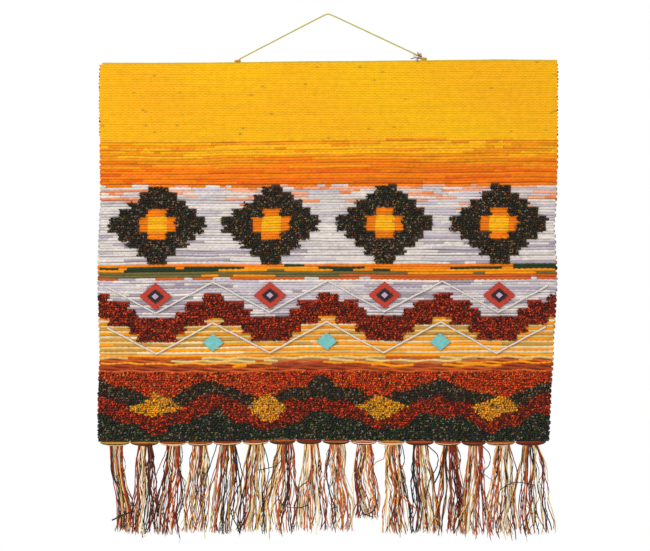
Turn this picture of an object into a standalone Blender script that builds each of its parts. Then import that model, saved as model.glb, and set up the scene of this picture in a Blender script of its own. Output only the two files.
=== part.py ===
# Jute and wool wall hanging: a woven cloth with bands of looped pile, felt patches, couched cords,
# a hem of sixteen tassels and a hanging cord.
#
# Metres, +Z up, the front faces -Y. The origin is the bend of the hanging cord over its nail, and
# the back of the cloth is the plane y = BACK_Y.

import math
import random
from collections import namedtuple

import bmesh
import bpy
from mathutils import Matrix, Vector, noise

# Cloth
CLOTH_WIDTH = 0.640
CLOTH_HEIGHT = 0.532
HEADING_HEIGHT = 0.1090
BACK_Y = 0.002
HEADING_THICK = 0.003
ROWS_THICK = 0.004
PILE_RISE = 0.0025
DENT = 0.0005
DENTS_PER_METRE = 14
PILE_LUMP = 0.0009
LUMPS_PER_METRE = 60
SELVEDGE_WOBBLE = 0.0008
SELVEDGE_SEED = 4
EDGE_THIN = 0.0008

# Pieces sewn on or tied on stay this far from what they lie on
GAP = 0.0003

# The pattern is woven in steps, counted across the cloth and down from the heading
COLUMNS = 48
REPEAT = 12
HEADING_CUTS = (0.0, 0.0025, 0.0075, 0.035, 0.07)

Band = namedtuple("Band", "name steps")
BANDS = (
    Band("narrow stripes", 6),
    Band("diamonds", 10),
    Band("border stripes", 2),
    Band("zigzag", 10),
    Band("waves", 2),
    Band("pile", 9),
)
STEPS = sum(band.steps for band in BANDS)
STEP_HEIGHT = (CLOTH_HEIGHT - HEADING_HEIGHT) / STEPS
BAND_MIDDLE = 5
DIAMOND_REACH = 5.5
RING_STEPS = 3
ZIGZAG_RISE = 2
ZIGZAG_STEPS = 3

# Outline of the cloth: its sides by their distance down, and its top edge and hem from side to side
Side = namedtuple("Side", "down left right")
SIDES = (
    Side(0.000, -0.3190, 0.3215),
    Side(0.035, -0.3205, 0.3215),
    Side(0.119, -0.3190, 0.3212),
    Side(0.196, -0.3185, 0.3194),
    Side(0.231, -0.3204, 0.3166),
    Side(0.308, -0.3218, 0.3205),
    Side(0.371, -0.3204, 0.3166),
    Side(0.406, -0.3190, 0.3152),
    Side(0.476, -0.3218, 0.3110),
    Side(0.532, -0.3215, 0.3090),
)
Edge = namedtuple("Edge", "across top bottom")
EDGES = (
    Edge(0.00, -0.0681, -0.5990),
    Edge(0.22, -0.0679, -0.5990),
    Edge(0.45, -0.0660, -0.5962),
    Edge(0.62, -0.0652, -0.5975),
    Edge(0.86, -0.0635, -0.5990),
    Edge(1.00, -0.0640, -0.5980),
)
TOP_CORNER = 0.006
BOTTOM_CORNER = 0.005
SCALLOP_RISE = 0.0010

# Tassels, from the left: the scallop's width, where root and tips lie from its middle, how wide the
# tips spread, how long the strands are, and how far the outer strands bow out
Tassel = namedtuple("Tassel", "width root tip spread length bow_left bow_right")
TASSELS = (
    Tassel(0.0420, 0.002, 0.013, 0.015, 0.129, 0.000, 0.000),
    Tassel(0.0406, 0.001, 0.000, 0.029, 0.132, 0.003, 0.004),
    Tassel(0.0392, 0.001, -0.007, 0.026, 0.132, 0.002, 0.004),
    Tassel(0.0364, 0.000, -0.009, 0.029, 0.130, 0.002, 0.002),
    Tassel(0.0406, 0.000, -0.007, 0.036, 0.132, 0.005, 0.006),
    Tassel(0.0378, 0.001, -0.007, 0.030, 0.130, 0.003, 0.007),
    Tassel(0.0378, 0.004, -0.004, 0.034, 0.133, 0.004, 0.002),
    Tassel(0.0364, 0.003, 0.000, 0.031, 0.129, 0.003, 0.003),
    Tassel(0.0392, 0.001, 0.003, 0.032, 0.129, 0.002, 0.003),
    Tassel(0.0378, 0.001, 0.002, 0.030, 0.111, 0.005, 0.005),
    Tassel(0.0392, 0.003, 0.010, 0.026, 0.132, 0.002, 0.004),
    Tassel(0.0406, 0.001, 0.008, 0.028, 0.130, 0.002, 0.006),
    Tassel(0.0378, 0.004, 0.003, 0.030, 0.131, 0.002, 0.004),
    Tassel(0.0350, 0.003, 0.000, 0.028, 0.133, 0.004, 0.005),
    Tassel(0.0406, 0.003, -0.002, 0.030, 0.133, 0.003, 0.006),
    Tassel(0.0434, 0.000, 0.004, 0.045, 0.133, 0.006, 0.004),
)
FIRST_SCALLOP_X = -0.319
HEAD_Y = -0.0003
HEAD_DEPTH = 0.0042
HEAD_DROP = 0.0062
HEAD_RISE = 0.0004
HEAD_CLEAR = 0.0008
HEAD_END_GAP = 0.0004
HEAD_SIDES = 8
HEAD_RINGS = 7
STRANDS = 12
STRAND_SIDES = 3
STRAND_RADIUS = 0.00115
STRAND_BENDS = 4
ROOT_WIDTH = 0.0205
ROOT_DOWN = 0.0018
LAYER_BACK = 0.0009
LAYER_FRONT = -0.0018
LAYER_SPREAD = 0.25
SWAY = 0.0022
SWAY_WAVES = 1.15
SWAY_SHIFT = 700
TIP_SCATTER = 0.009
STRAND_SEED = 16
WELD = 0.00001

# Hanging cord and its knots
CORD_RADIUS = 0.0011
CORD_SIDES = 8
CORD_POINTS = 36
NAIL_BEND = 0.0027
KNOT_SIDES = 8
KNOT_RINGS = 10
KNOT_WRAPS = 3
KNOT_RIDGE = 0.12
Knot = namedtuple("Knot", "name place size cord_meets")
KNOTS = (
    Knot("knot_left", (-0.1265, 0.0, -0.0641), (0.0100, 0.0042, 0.0048), (0.0046, 0.0, 0.0022)),
    Knot("knot_right", (0.1340, 0.0, -0.0617), (0.0100, 0.0042, 0.0050), (-0.0048, 0.0, 0.0022)),
)
FRAYED_END_RADIUS = 0.0006
FRAYED_END_SIDES = 4
FrayedEnd = namedtuple("FrayedEnd", "start middle tip")
FRAYED_ENDS = (
    FrayedEnd((-0.0030, 0.0, -0.0006), (-0.0090, -0.0012, -0.0010), (-0.0150, -0.0006, 0.0006)),
    FrayedEnd((-0.0020, 0.0, 0.0012), (-0.0034, -0.0008, 0.0048), (-0.0058, -0.0002, 0.0074)),
    FrayedEnd((0.0000, 0.0, 0.0012), (-0.0004, -0.0008, 0.0042), (-0.0018, -0.0004, 0.0062)),
)

# Felt patches and couched cords, on the zigzag band
FELT_THICK = 0.0013
Patch = namedtuple("Patch", "name layer width height")
STACK = (
    Patch("felt_red", 0, 0.046, 0.038),
    Patch("felt_black", 1, 0.024, 0.020),
    Patch("felt_lilac", 2, 0.010, 0.009),
)
SMALL_PATCH = Patch("felt_blue", 0, 0.030, 0.025)
STACK_RISE = 0.0305
SMALL_PATCH_DROP = 0.0345
CORNER_CUT = 0.06
COUCHED_RADIUS = 0.0012
COUCHED_OFFSET = 0.0285
COUCHED_MARGIN = 0.012
COUCHED_TURN = 0.004

YARN_ROUGHNESS = 0.9
YARN_COLOURS = {
    "cloth": (0.74, 0.30, 0.035, 1.0),
    "tassel": (0.33, 0.085, 0.025, 1.0),
    "cord": (0.62, 0.52, 0.14, 1.0),
    "knot": (0.68, 0.47, 0.08, 1.0),
    "felt_red": (0.48, 0.035, 0.025, 1.0),
    "felt_black": (0.012, 0.011, 0.011, 1.0),
    "felt_lilac": (0.50, 0.30, 0.48, 1.0),
    "felt_blue": (0.10, 0.42, 0.52, 1.0),
    "couched": (0.80, 0.76, 0.70, 1.0),
}


def clear_scene():
    """Remove the objects that a new file opens with."""
    for item in list(bpy.data.objects):
        bpy.data.objects.remove(item, do_unlink=True)


def new_collection(name):
    """Add a collection to the scene."""
    collection = bpy.data.collections.new(name)
    bpy.context.scene.collection.children.link(collection)
    return collection


def yarn_material(name):
    """Matt fibre in one of the colours of the hanging."""
    material = bpy.data.materials.new(name)
    material.use_nodes = True
    shader = material.node_tree.nodes["Principled BSDF"]
    shader.inputs["Base Color"].default_value = YARN_COLOURS[name]
    shader.inputs["Roughness"].default_value = YARN_ROUGHNESS
    shader.inputs["Metallic"].default_value = 0.0
    return material


def blend_rows(rows, at, key, value):
    """Value of one column of a table, read between the two rows that at falls between."""
    for low, high in zip(rows, rows[1:]):
        start = getattr(low, key)
        end = getattr(high, key)
        if at <= end:
            share = max(0.0, (at - start) / (end - start))
            return getattr(low, value) * (1 - share) + getattr(high, value) * share
    return getattr(rows[-1], value)


def triangle_wave(across):
    """Goes from -1 at a repeat's ends to 1 at its middle; across is counted in steps."""
    return 1 - 4 * abs((across / REPEAT) % 1 - 0.5)


def band_start(name):
    """Steps from the heading down to a band."""
    steps = 0
    for band in BANDS:
        if band.name == name:
            return steps
        steps += band.steps
    raise ValueError(name)


def in_diamond(column, step):
    """Whether a step of the diamond band is in a diamond's ring of pile."""
    across = abs(column % REPEAT + 0.5 - REPEAT / 2)
    reach = DIAMOND_REACH - abs(step + 0.5 - BAND_MIDDLE)
    return reach - RING_STEPS < across <= reach


def in_zigzag(column, step):
    """Whether a step of the zigzag band is in its stripe of pile."""
    middle = BAND_MIDDLE + ZIGZAG_RISE * triangle_wave(column + 0.5)
    first = math.floor(middle - ZIGZAG_STEPS / 2 + 0.5)
    return first <= step < first + ZIGZAG_STEPS


def has_pile(column, step):
    """Whether the cloth is looped at this step, counted down from the heading."""
    if step >= band_start("pile"):
        return True
    if band_start("zigzag") <= step < band_start("waves"):
        return in_zigzag(column, step - band_start("zigzag"))
    if band_start("diamonds") <= step < band_start("border stripes"):
        return in_diamond(column, step - band_start("diamonds"))
    return False


def corner_pull(distance, radius):
    """How far a rounded corner draws an edge in, at a distance from the other edge."""
    if distance >= radius:
        return 0.0
    return radius - math.sqrt(radius**2 - (radius - distance) ** 2)


def cloth_point(across, down):
    """Place on the cloth's outline net: across runs 0 to 1, and down is in metres from the top."""
    left = blend_rows(SIDES, down, "down", "left")
    right = blend_rows(SIDES, down, "down", "right")
    pull = corner_pull(down, TOP_CORNER) + corner_pull(CLOTH_HEIGHT - down, BOTTOM_CORNER)
    left += pull
    right -= pull / 2 if down < TOP_CORNER else pull
    top = blend_rows(EDGES, across, "across", "top")
    bottom = blend_rows(EDGES, across, "across", "bottom")
    share = down / CLOTH_HEIGHT
    return left + (right - left) * across, top + (bottom - top) * share


def scallop_edges():
    """The places along the hem where one scallop ends and the next begins."""
    places = [FIRST_SCALLOP_X]
    for tassel in TASSELS:
        places.append(places[-1] + tassel.width)
    return places


def hem_level(x):
    """Height of the notches between scallops."""
    left, right = SIDES[-1].left, SIDES[-1].right
    return blend_rows(EDGES, (x - left) / (right - left), "across", "bottom")


def hem_rise(across):
    """How far the hem is drawn up between its notches; across runs -1 to 1 over one tassel's width."""
    columns_each = COLUMNS // len(TASSELS)
    return SCALLOP_RISE * min(1.0, (1 - abs(across)) * columns_each / 2)


def hem_point(column):
    """A point of the cloth's lower edge, drawn up over each tassel."""
    edges = scallop_edges()
    columns_each = COLUMNS // len(TASSELS)
    scallop = min(column // columns_each, len(TASSELS) - 1)
    share = column / columns_each - scallop
    x = edges[scallop] + (edges[scallop + 1] - edges[scallop]) * share
    return x, hem_level(x) + hem_rise(2 * share - 1)


def down_cuts():
    """Distances down from the top edge at which the cloth's net has its rows."""
    cuts = list(HEADING_CUTS)
    cuts += [HEADING_HEIGHT + step * STEP_HEIGHT for step in range(STEPS + 1)]
    return cuts


def shape_front(net, cuts):
    """Move the points of a flat net onto the front of the cloth."""
    wobble = random.Random(SELVEDGE_SEED)
    offsets = [(wobble.uniform(-1, 1), wobble.uniform(-1, 1)) for _ in cuts]
    last = len(cuts) - 1
    for vertex in net.verts:
        column = round((vertex.co.x + 0.5) * COLUMNS)
        row = round((0.5 - vertex.co.y) * last)
        x, z = cloth_point(column / COLUMNS, cuts[row])
        if row == last:
            x, z = hem_point(column)
        elif column == 0:
            x += SELVEDGE_WOBBLE * offsets[row][0]
        elif column == COLUMNS:
            x += SELVEDGE_WOBBLE * offsets[row][1]
        thick = HEADING_THICK if row < len(HEADING_CUTS) else ROWS_THICK
        thick -= DENT * (0.5 + 0.5 * noise.noise(Vector((x, 0, z)) * DENTS_PER_METRE))
        if column in (0, COLUMNS) or row in (0, last):
            thick -= EDGE_THIN
        vertex.co = Vector((x, BACK_Y - thick, z))


def raise_pile(net, faces):
    """Lift the steps that have looped pile, with an uneven top."""
    made = bmesh.ops.extrude_face_region(net, geom=faces)
    bmesh.ops.delete(net, geom=[face for face in faces if face.is_valid], context="FACES")
    for item in made["geom"]:
        if isinstance(item, bmesh.types.BMVert):
            lump = PILE_LUMP * noise.noise(Vector((item.co.x, 0, item.co.z)) * LUMPS_PER_METRE)
            item.co.y = min(item.co.y, BACK_Y - ROWS_THICK + DENT) - PILE_RISE - lump


def build_panel(parts, material):
    """The cloth: one closed sheet with a flat back and a stepped relief of pile on its front."""
    cuts = down_cuts()
    net = bmesh.new()
    bmesh.ops.create_grid(net, x_segments=COLUMNS, y_segments=len(cuts) - 1, size=0.5)
    pile = []
    for face in net.faces:
        middle = face.calc_center_median()
        column = math.floor((middle.x + 0.5) * COLUMNS)
        step = math.floor((0.5 - middle.y) * (len(cuts) - 1)) - len(HEADING_CUTS)
        if has_pile(column, step):
            pile.append(face)
    shape_front(net, cuts)
    back = bmesh.ops.extrude_face_region(net, geom=net.faces[:], use_keep_orig=True)["geom"]
    for item in back:
        if isinstance(item, bmesh.types.BMVert):
            item.co.y = BACK_Y
    bmesh.ops.dissolve_faces(net, faces=[item for item in back if isinstance(item, bmesh.types.BMFace)])
    raise_pile(net, pile)
    bmesh.ops.recalc_face_normals(net, faces=net.faces[:])
    add_mesh(parts, "woven_panel", net, material)


def add_mesh(parts, name, work, material):
    """Make an object from a worked mesh."""
    mesh = bpy.data.meshes.new(name)
    work.to_mesh(mesh)
    work.free()
    mesh.materials.append(material)
    item = bpy.data.objects.new(name, mesh)
    parts.objects.link(item)
    return item


def tube_curve(name, routes, radius, sides, collection):
    """A curve object with one round-sectioned run for each route of points."""
    curve = bpy.data.curves.new(name, "CURVE")
    curve.dimensions = "3D"
    curve.use_fill_caps = True
    if sides == STRAND_SIDES:
        curve.bevel_mode = "OBJECT"
        curve.bevel_object = triangle_section(radius, collection)
    else:
        curve.bevel_depth = radius
        curve.bevel_resolution = sides // 2 - 2
    for route in routes:
        run = curve.splines.new("POLY")
        run.points.add(len(route) - 1)
        for point, place in zip(run.points, route):
            point.co = (*place, 1.0)
    item = bpy.data.objects.new(name, curve)
    collection.objects.link(item)
    return item


def triangle_section(radius, collection):
    """Closed three-cornered outline that thin strands are drawn along."""
    name = "strand_section"
    if name in bpy.data.objects:
        return bpy.data.objects[name]
    outline = bpy.data.curves.new(name, "CURVE")
    run = outline.splines.new("POLY")
    run.points.add(STRAND_SIDES - 1)
    for corner, point in enumerate(run.points):
        angle = math.radians(90 + 360 / STRAND_SIDES * corner)
        point.co = (radius * math.cos(angle), radius * math.sin(angle), 0.0, 1.0)
    run.use_cyclic_u = True
    item = bpy.data.objects.new(name, outline)
    item.hide_render = True
    item.display_type = "WIRE"
    collection.objects.link(item)
    return item


def curve_to_mesh(item, collection):
    """Swap a curve for a mesh whose caps are welded on."""
    bpy.context.view_layer.update()
    evaluated = item.evaluated_get(bpy.context.evaluated_depsgraph_get())
    mesh = bpy.data.meshes.new_from_object(evaluated)
    work = bmesh.new()
    work.from_mesh(mesh)
    bmesh.ops.remove_doubles(work, verts=work.verts[:], dist=WELD)
    bmesh.ops.recalc_face_normals(work, faces=work.faces[:])
    work.to_mesh(mesh)
    work.free()
    name = item.name
    made = bpy.data.objects.new(name + "_mesh", mesh)
    made.matrix_world = item.matrix_world
    bpy.data.objects.remove(item, do_unlink=True)
    collection.objects.link(made)
    return made


def join_to(item, added, cutters):
    """Fuse a guide mesh into an object."""
    added.hide_render = True
    added.display_type = "WIRE"
    union = item.modifiers.new("fuse", "BOOLEAN")
    union.operation = "UNION"
    union.solver = "EXACT"
    union.object = added
    if added.name not in cutters.objects:
        cutters.objects.link(added)


def head_mesh(middle, width):
    """Bowed bar with pointed ends: it follows the hem above and is curved below."""
    work = bmesh.new()
    turn = Matrix.Rotation(math.radians(90), 4, "Y")
    bmesh.ops.create_uvsphere(work, u_segments=HEAD_SIDES, v_segments=HEAD_RINGS, radius=1.0, matrix=turn)
    for vertex in work.verts:
        x, y, z = vertex.co
        height = HEAD_RISE if z > 0 else HEAD_DROP
        place = middle + x * width / 2
        hem = hem_level(place) + hem_rise(x) - HEAD_CLEAR
        vertex.co = Vector((place, HEAD_Y + y * HEAD_DEPTH / 2, hem + z * height))
    return work


def strand_route(tassel, number, chance):
    """One strand's points, from inside the head down to its tip."""
    share = (number + 0.5) / STRANDS - 0.5
    layer = LAYER_BACK if number % 2 else LAYER_FRONT
    root = tassel.root + share * ROOT_WIDTH
    tip = tassel.tip + share * tassel.spread
    length = tassel.length - chance.uniform(0, TIP_SCATTER)
    bow = 0.0
    if number == 0:
        bow = -tassel.bow_left
    elif number == STRANDS - 1:
        bow = tassel.bow_right
    points = []
    for bend in range(STRAND_BENDS + 1):
        along = bend / STRAND_BENDS
        ease = along * along * (3 - 2 * along)
        x = root + (tip - root) * ease
        x += SWAY * math.sin(2 * math.pi * SWAY_WAVES * along + tassel.length * SWAY_SHIFT) * along
        x += bow * math.sin(math.pi * along)
        y = HEAD_Y + layer * (1 + LAYER_SPREAD * along)
        points.append((x, y, -ROOT_DOWN - (length - ROOT_DOWN) * along))
    return points


def build_tassels(parts, cutters, material):
    """One tassel below each scallop of the hem."""
    chance = random.Random(STRAND_SEED)
    edges = scallop_edges()
    for number, tassel in enumerate(TASSELS):
        name = f"tassel_{number + 1:02d}"
        middle = (edges[number] + edges[number + 1]) / 2
        head = add_mesh(parts, name, head_mesh(middle, tassel.width - 2 * HEAD_END_GAP), material)
        routes = [strand_route(tassel, strand, chance) for strand in range(STRANDS)]
        strands = tube_curve(name + "_strands", routes, STRAND_RADIUS, STRAND_SIDES, cutters)
        strands = curve_to_mesh(strands, cutters)
        strands.location = (middle, 0, hem_level(middle))
        join_to(head, strands, cutters)


def cord_route():
    """The cord's centre line: two straight falls and a close bend over the nail."""
    start, end = (Vector(knot.place) + Vector(knot.cord_meets) for knot in KNOTS)
    points = []
    for place in range(CORD_POINTS):
        share = 2 * place / (CORD_POINTS - 1) - 1
        foot = start if share < 0 else end
        reach = math.asinh(abs(foot.x) / NAIL_BEND)
        x = math.copysign(NAIL_BEND * math.sinh(abs(share) * reach), share)
        fall = math.sqrt(x * x + NAIL_BEND**2) - NAIL_BEND
        slope = -foot.z / (math.sqrt(foot.x**2 + NAIL_BEND**2) - NAIL_BEND)
        points.append((x, 0.0, -slope * fall))
    return points


def build_cord(parts, material):
    """The hanging cord, one round tube from knot to knot."""
    cord = tube_curve("hanging_cord", [cord_route()], CORD_RADIUS, CORD_SIDES, parts)
    cord.data.materials.append(material)


def knot_mesh(size):
    """A lump of wrapped turns, long across the cloth."""
    work = bmesh.new()
    turn = Matrix.Rotation(math.radians(90), 4, "Y")
    bmesh.ops.create_uvsphere(work, u_segments=KNOT_SIDES, v_segments=KNOT_RINGS, radius=1.0, matrix=turn)
    for vertex in work.verts:
        ridge = 1 + KNOT_RIDGE * math.cos(2 * math.pi * KNOT_WRAPS * vertex.co.x / 2)
        vertex.co.y *= ridge * size[1] / 2
        vertex.co.z *= ridge * size[2] / 2
        vertex.co.x *= size[0] / 2
    return work


def build_knots(parts, cutters, material):
    """The two knots on the top edge; the right one keeps the cord's frayed ends."""
    for knot in KNOTS:
        lump = add_mesh(parts, knot.name, knot_mesh(knot.size), material)
        lump.location = knot.place
    ends = tube_curve("frayed_ends", FRAYED_ENDS, FRAYED_END_RADIUS, FRAYED_END_SIDES, cutters)
    ends = curve_to_mesh(ends, cutters)
    ends.location = lump.location
    join_to(lump, ends, cutters)


def felt_patch(parts, patch, number, place, material):
    """A diamond cut from felt, its corners snipped blunt."""
    curve = bpy.data.curves.new(patch.name, "CURVE")
    curve.dimensions = "2D"
    curve.fill_mode = "BOTH"
    curve.extrude = FELT_THICK / 2
    run = curve.splines.new("POLY")
    corners = [(1, 0), (0, 1), (-1, 0), (0, -1)]
    outline = []
    for here, corner in enumerate(corners):
        for other in (corners[here - 1], corners[(here + 1) % 4]):
            x = corner[0] + (other[0] - corner[0]) * CORNER_CUT
            z = corner[1] + (other[1] - corner[1]) * CORNER_CUT
            outline.append((x * patch.width / 2, z * patch.height / 2, 0.0, 1.0))
    run.points.add(len(outline) - 1)
    for point, co in zip(run.points, outline):
        point.co = co
    run.use_cyclic_u = True
    curve.materials.append(material)
    item = bpy.data.objects.new(f"{patch.name}_{number}", curve)
    depth = ROWS_THICK + GAP + FELT_THICK / 2 + patch.layer * (FELT_THICK + GAP)
    item.location = (place[0], BACK_Y - depth, place[1])
    item.rotation_euler = (math.radians(90), 0, 0)
    parts.objects.link(item)


def zigzag_place(across, offset):
    """Point on the line of the zigzag, moved down by offset; across is counted in steps."""
    middle = band_start("zigzag") + BAND_MIDDLE + ZIGZAG_RISE * triangle_wave(across)
    down = HEADING_HEIGHT + middle * STEP_HEIGHT + offset
    return cloth_point(across / COLUMNS, down)


def build_felt(parts, materials):
    """Stacks of felt above the zigzag's dips, and small patches below its peaks."""
    zigzag_down = HEADING_HEIGHT + (band_start("zigzag") + BAND_MIDDLE) * STEP_HEIGHT
    repeats = COLUMNS // REPEAT
    for number in range(repeats):
        place = cloth_point((number + 0.5) / repeats, zigzag_down - STACK_RISE)
        for patch in STACK:
            felt_patch(parts, patch, number + 1, place, materials[patch.name])
    for number in range(1, repeats):
        place = cloth_point(number / repeats, zigzag_down + SMALL_PATCH_DROP)
        felt_patch(parts, SMALL_PATCH, number, place, materials[SMALL_PATCH.name])


def couched_route(offset):
    """A cord's centre line along the zigzag, with a short bend at each turn."""
    half = REPEAT // 2
    margin = COUCHED_MARGIN * COLUMNS / CLOTH_WIDTH
    bend = COUCHED_TURN * COLUMNS / CLOTH_WIDTH
    points = []
    for turn in range(COLUMNS // half + 1):
        across = turn * half
        places = [across - bend, across, across + bend]
        if turn == 0:
            places = [margin]
        elif turn == COLUMNS // half:
            places = [COLUMNS - margin]
        for place in places:
            x, z = zigzag_place(place, offset)
            points.append((x, BACK_Y - ROWS_THICK - GAP - COUCHED_RADIUS, z))
    return points


def build_couched_cords(parts, material):
    """White cords laid along both sides of the zigzag and sewn down."""
    for name, offset in (("couched_cord_upper", -COUCHED_OFFSET), ("couched_cord_lower", COUCHED_OFFSET)):
        cord = tube_curve(name, [couched_route(offset)], COUCHED_RADIUS, CORD_SIDES, parts)
        cord.data.materials.append(material)


def build_hanging():
    """The whole hanging."""
    clear_scene()
    parts = new_collection("jute_tapestry")
    cutters = new_collection("cutters")
    materials = {name: yarn_material(name) for name in YARN_COLOURS}
    build_panel(parts, materials["cloth"])
    build_tassels(parts, cutters, materials["tassel"])
    build_cord(parts, materials["cord"])
    build_knots(parts, cutters, materials["knot"])
    build_felt(parts, materials)
    build_couched_cords(parts, materials["couched"])


build_hanging()
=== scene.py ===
import math
from collections import namedtuple

import bpy
import numpy as np
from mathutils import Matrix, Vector, noise


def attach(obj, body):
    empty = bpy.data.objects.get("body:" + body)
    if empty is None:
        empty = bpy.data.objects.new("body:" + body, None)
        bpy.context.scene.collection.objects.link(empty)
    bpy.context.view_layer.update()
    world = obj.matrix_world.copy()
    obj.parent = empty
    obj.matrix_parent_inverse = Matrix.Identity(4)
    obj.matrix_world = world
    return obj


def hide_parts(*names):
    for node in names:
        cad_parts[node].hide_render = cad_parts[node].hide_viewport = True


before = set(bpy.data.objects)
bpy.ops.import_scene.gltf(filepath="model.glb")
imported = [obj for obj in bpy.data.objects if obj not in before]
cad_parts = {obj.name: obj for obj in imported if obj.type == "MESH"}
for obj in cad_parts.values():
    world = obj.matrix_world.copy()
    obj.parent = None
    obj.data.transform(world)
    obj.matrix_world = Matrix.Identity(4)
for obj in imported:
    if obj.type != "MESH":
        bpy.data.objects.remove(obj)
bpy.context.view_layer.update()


# Ground cloth
# A thin jute cloth carries everything else. It takes the colour of the yarns above it, darkened as painted
# shade, and shows only as dark lines between them. Its sides waver, and its lower edge is drawn up over
# each tassel.
CLOTH_HEIGHT = 0.532
CLOTH_WIDTH = 0.640
HEADING_HEIGHT = 0.1090
GROUND_FRONT = -0.0006
GROUND_BACK = 0.0005
GROUND_INSET = 0.0012
HEADING_CELLS = 5
# Share of its yarns' colour that the ground cloth gets: painted shade between the rows
GROUND_SHADE = 0.45
TOP_CORNER = 0.006
SCALLOP_RISE = 0.0010
SCALLOP_STEEPNESS = 1.5
DRAWN_UP_FROM = 0.012
DRAWN_UP_OVER = 0.011
FIRST_SCALLOP_X = -0.319
WAVER = 0.0022
FINE_WAVER = 0.0006
WAVER_STARTS = 0.024
WAVER_ENDS = 0.030

# The pattern is woven in steps, counted across the cloth and down from the heading
STEP_COLUMNS = 48
REPEAT = 12
Band = namedtuple("Band", "name steps")
BANDS = (
    Band("narrow stripes", 6),
    Band("diamonds", 10),
    Band("border stripes", 2),
    Band("zigzag", 10),
    Band("waves", 2),
    Band("pile", 9),
)
STEPS = sum(band.steps for band in BANDS)
STEP_HEIGHT = (CLOTH_HEIGHT - HEADING_HEIGHT) / STEPS
BAND_MIDDLE = 5
DIAMOND_REACH = 5.5
RING_STEPS = 3
ZIGZAG_RISE = 2
ZIGZAG_STEPS = 3
YARN_ROWS = 114
YARN_PITCH = (CLOTH_HEIGHT - HEADING_HEIGHT) / YARN_ROWS

Side = namedtuple("Side", "down left right")
SIDES = (
    Side(0.000, -0.3190, 0.3215),
    Side(0.035, -0.3205, 0.3215),
    Side(0.119, -0.3190, 0.3212),
    Side(0.196, -0.3185, 0.3194),
    Side(0.231, -0.3204, 0.3166),
    Side(0.308, -0.3218, 0.3205),
    Side(0.371, -0.3204, 0.3166),
    Side(0.406, -0.3190, 0.3152),
    Side(0.476, -0.3218, 0.3110),
    Side(0.532, -0.3215, 0.3090),
)
Edge = namedtuple("Edge", "across top bottom")
EDGES = (
    Edge(0.00, -0.0681, -0.5990),
    Edge(0.22, -0.0679, -0.5990),
    Edge(0.45, -0.0660, -0.5962),
    Edge(0.62, -0.0652, -0.5975),
    Edge(0.86, -0.0635, -0.5990),
    Edge(1.00, -0.0640, -0.5980),
)

# One row for each tassel, from the left: the scallop's width, where root and tips lie from its
# middle, how wide the tips spread, and how long the strands are
Tassel = namedtuple("Tassel", "width root tip spread length")
TASSELS = (
    Tassel(0.0420, 0.002, 0.013, 0.017, 0.129),
    Tassel(0.0406, 0.001, 0.000, 0.031, 0.132),
    Tassel(0.0392, 0.001, -0.007, 0.028, 0.132),
    Tassel(0.0364, 0.000, -0.009, 0.031, 0.130),
    Tassel(0.0406, 0.000, -0.007, 0.040, 0.132),
    Tassel(0.0378, 0.001, -0.007, 0.033, 0.130),
    Tassel(0.0378, 0.004, -0.004, 0.036, 0.133),
    Tassel(0.0364, 0.003, 0.000, 0.033, 0.129),
    Tassel(0.0392, 0.001, 0.003, 0.034, 0.129),
    Tassel(0.0378, 0.001, 0.002, 0.032, 0.111),
    Tassel(0.0392, 0.003, 0.010, 0.029, 0.132),
    Tassel(0.0406, 0.001, 0.008, 0.031, 0.130),
    Tassel(0.0378, 0.004, 0.003, 0.033, 0.131),
    Tassel(0.0350, 0.003, 0.000, 0.031, 0.133),
    Tassel(0.0406, 0.003, -0.002, 0.033, 0.133),
    Tassel(0.0434, 0.000, 0.004, 0.048, 0.133),
)
SCALLOP_EDGES = FIRST_SCALLOP_X + np.cumsum([0.0] + [tassel.width for tassel in TASSELS])

# Row colours of the striped bands, from the top down
STRIPES = {
    "narrow stripes": (
        *("gold", "amber", "gold", "amber", "gold", "amber", "amber", "tangerine"),
        *("amber", "tangerine", "flame", "tangerine", "tangerine", "flame", "tangerine"),
    ),
    "border stripes": ("tangerine", "forest", "amber", "olive", "burnt orange"),
    "waves": ("straw", "burnt orange", "amber", "rust", "burnt orange"),
}

# Under a pile its backing yarn is one plain dye
BACKING = {
    "pile dark": "umber",
    "pile red": "brick",
    "pile orange": "rust",
    "pile green": "forest",
    "pile gold": "ochre",
}

# Dye colours of the yarns and felts, as they look in daylight
DYES = {
    "marigold": (247, 191, 6),
    "gold": (246, 178, 18),
    "amber": (240, 150, 12),
    "tangerine": (241, 127, 8),
    "flame": (230, 104, 10),
    "burnt orange": (200, 92, 34),
    "copper": (208, 114, 58),
    "vermilion": (224, 68, 22),
    "rust": (166, 66, 30),
    "brick": (140, 44, 24),
    "maroon": (84, 24, 18),
    "cream": (238, 214, 164),
    "straw": (230, 192, 118),
    "ochre": (200, 146, 56),
    "pale": (224, 214, 207),
    "lilac": (203, 193, 198),
    "mauve": (172, 158, 168),
    "salmon": (236, 168, 134),
    "peach": (232, 138, 84),
    "forest": (38, 58, 36),
    "bottle": (28, 48, 48),
    "charcoal": (38, 34, 31),
    "ash": (116, 104, 92),
    "umber": (74, 52, 34),
    "tan": (134, 84, 42),
    "olive": (112, 102, 56),
    "white": (236, 230, 220),
    "felt red": (196, 58, 40),
    "felt black": (34, 31, 30),
    "felt lilac": (200, 162, 194),
    "felt blue": (120, 196, 190),
    "cord yellow": (220, 205, 88),
    "cord grey": (194, 186, 104),
    "thread grey": (170, 144, 132),
    "knot gold": (214, 152, 40),
    "knot olive": (206, 166, 42),
}


def dye(name):
    """A named dye as linear red, green and blue."""
    share = np.array(DYES[name]) / 255
    return np.where(share <= 0.04045, share / 12.92, ((share + 0.055) / 1.055) ** 2.4)


def looked_up(rows, name, at):
    """A named column of a table, between its rows, whose first column says where they are."""
    return np.interp(at, [row[0] for row in rows], [getattr(row, name) for row in rows])


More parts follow.
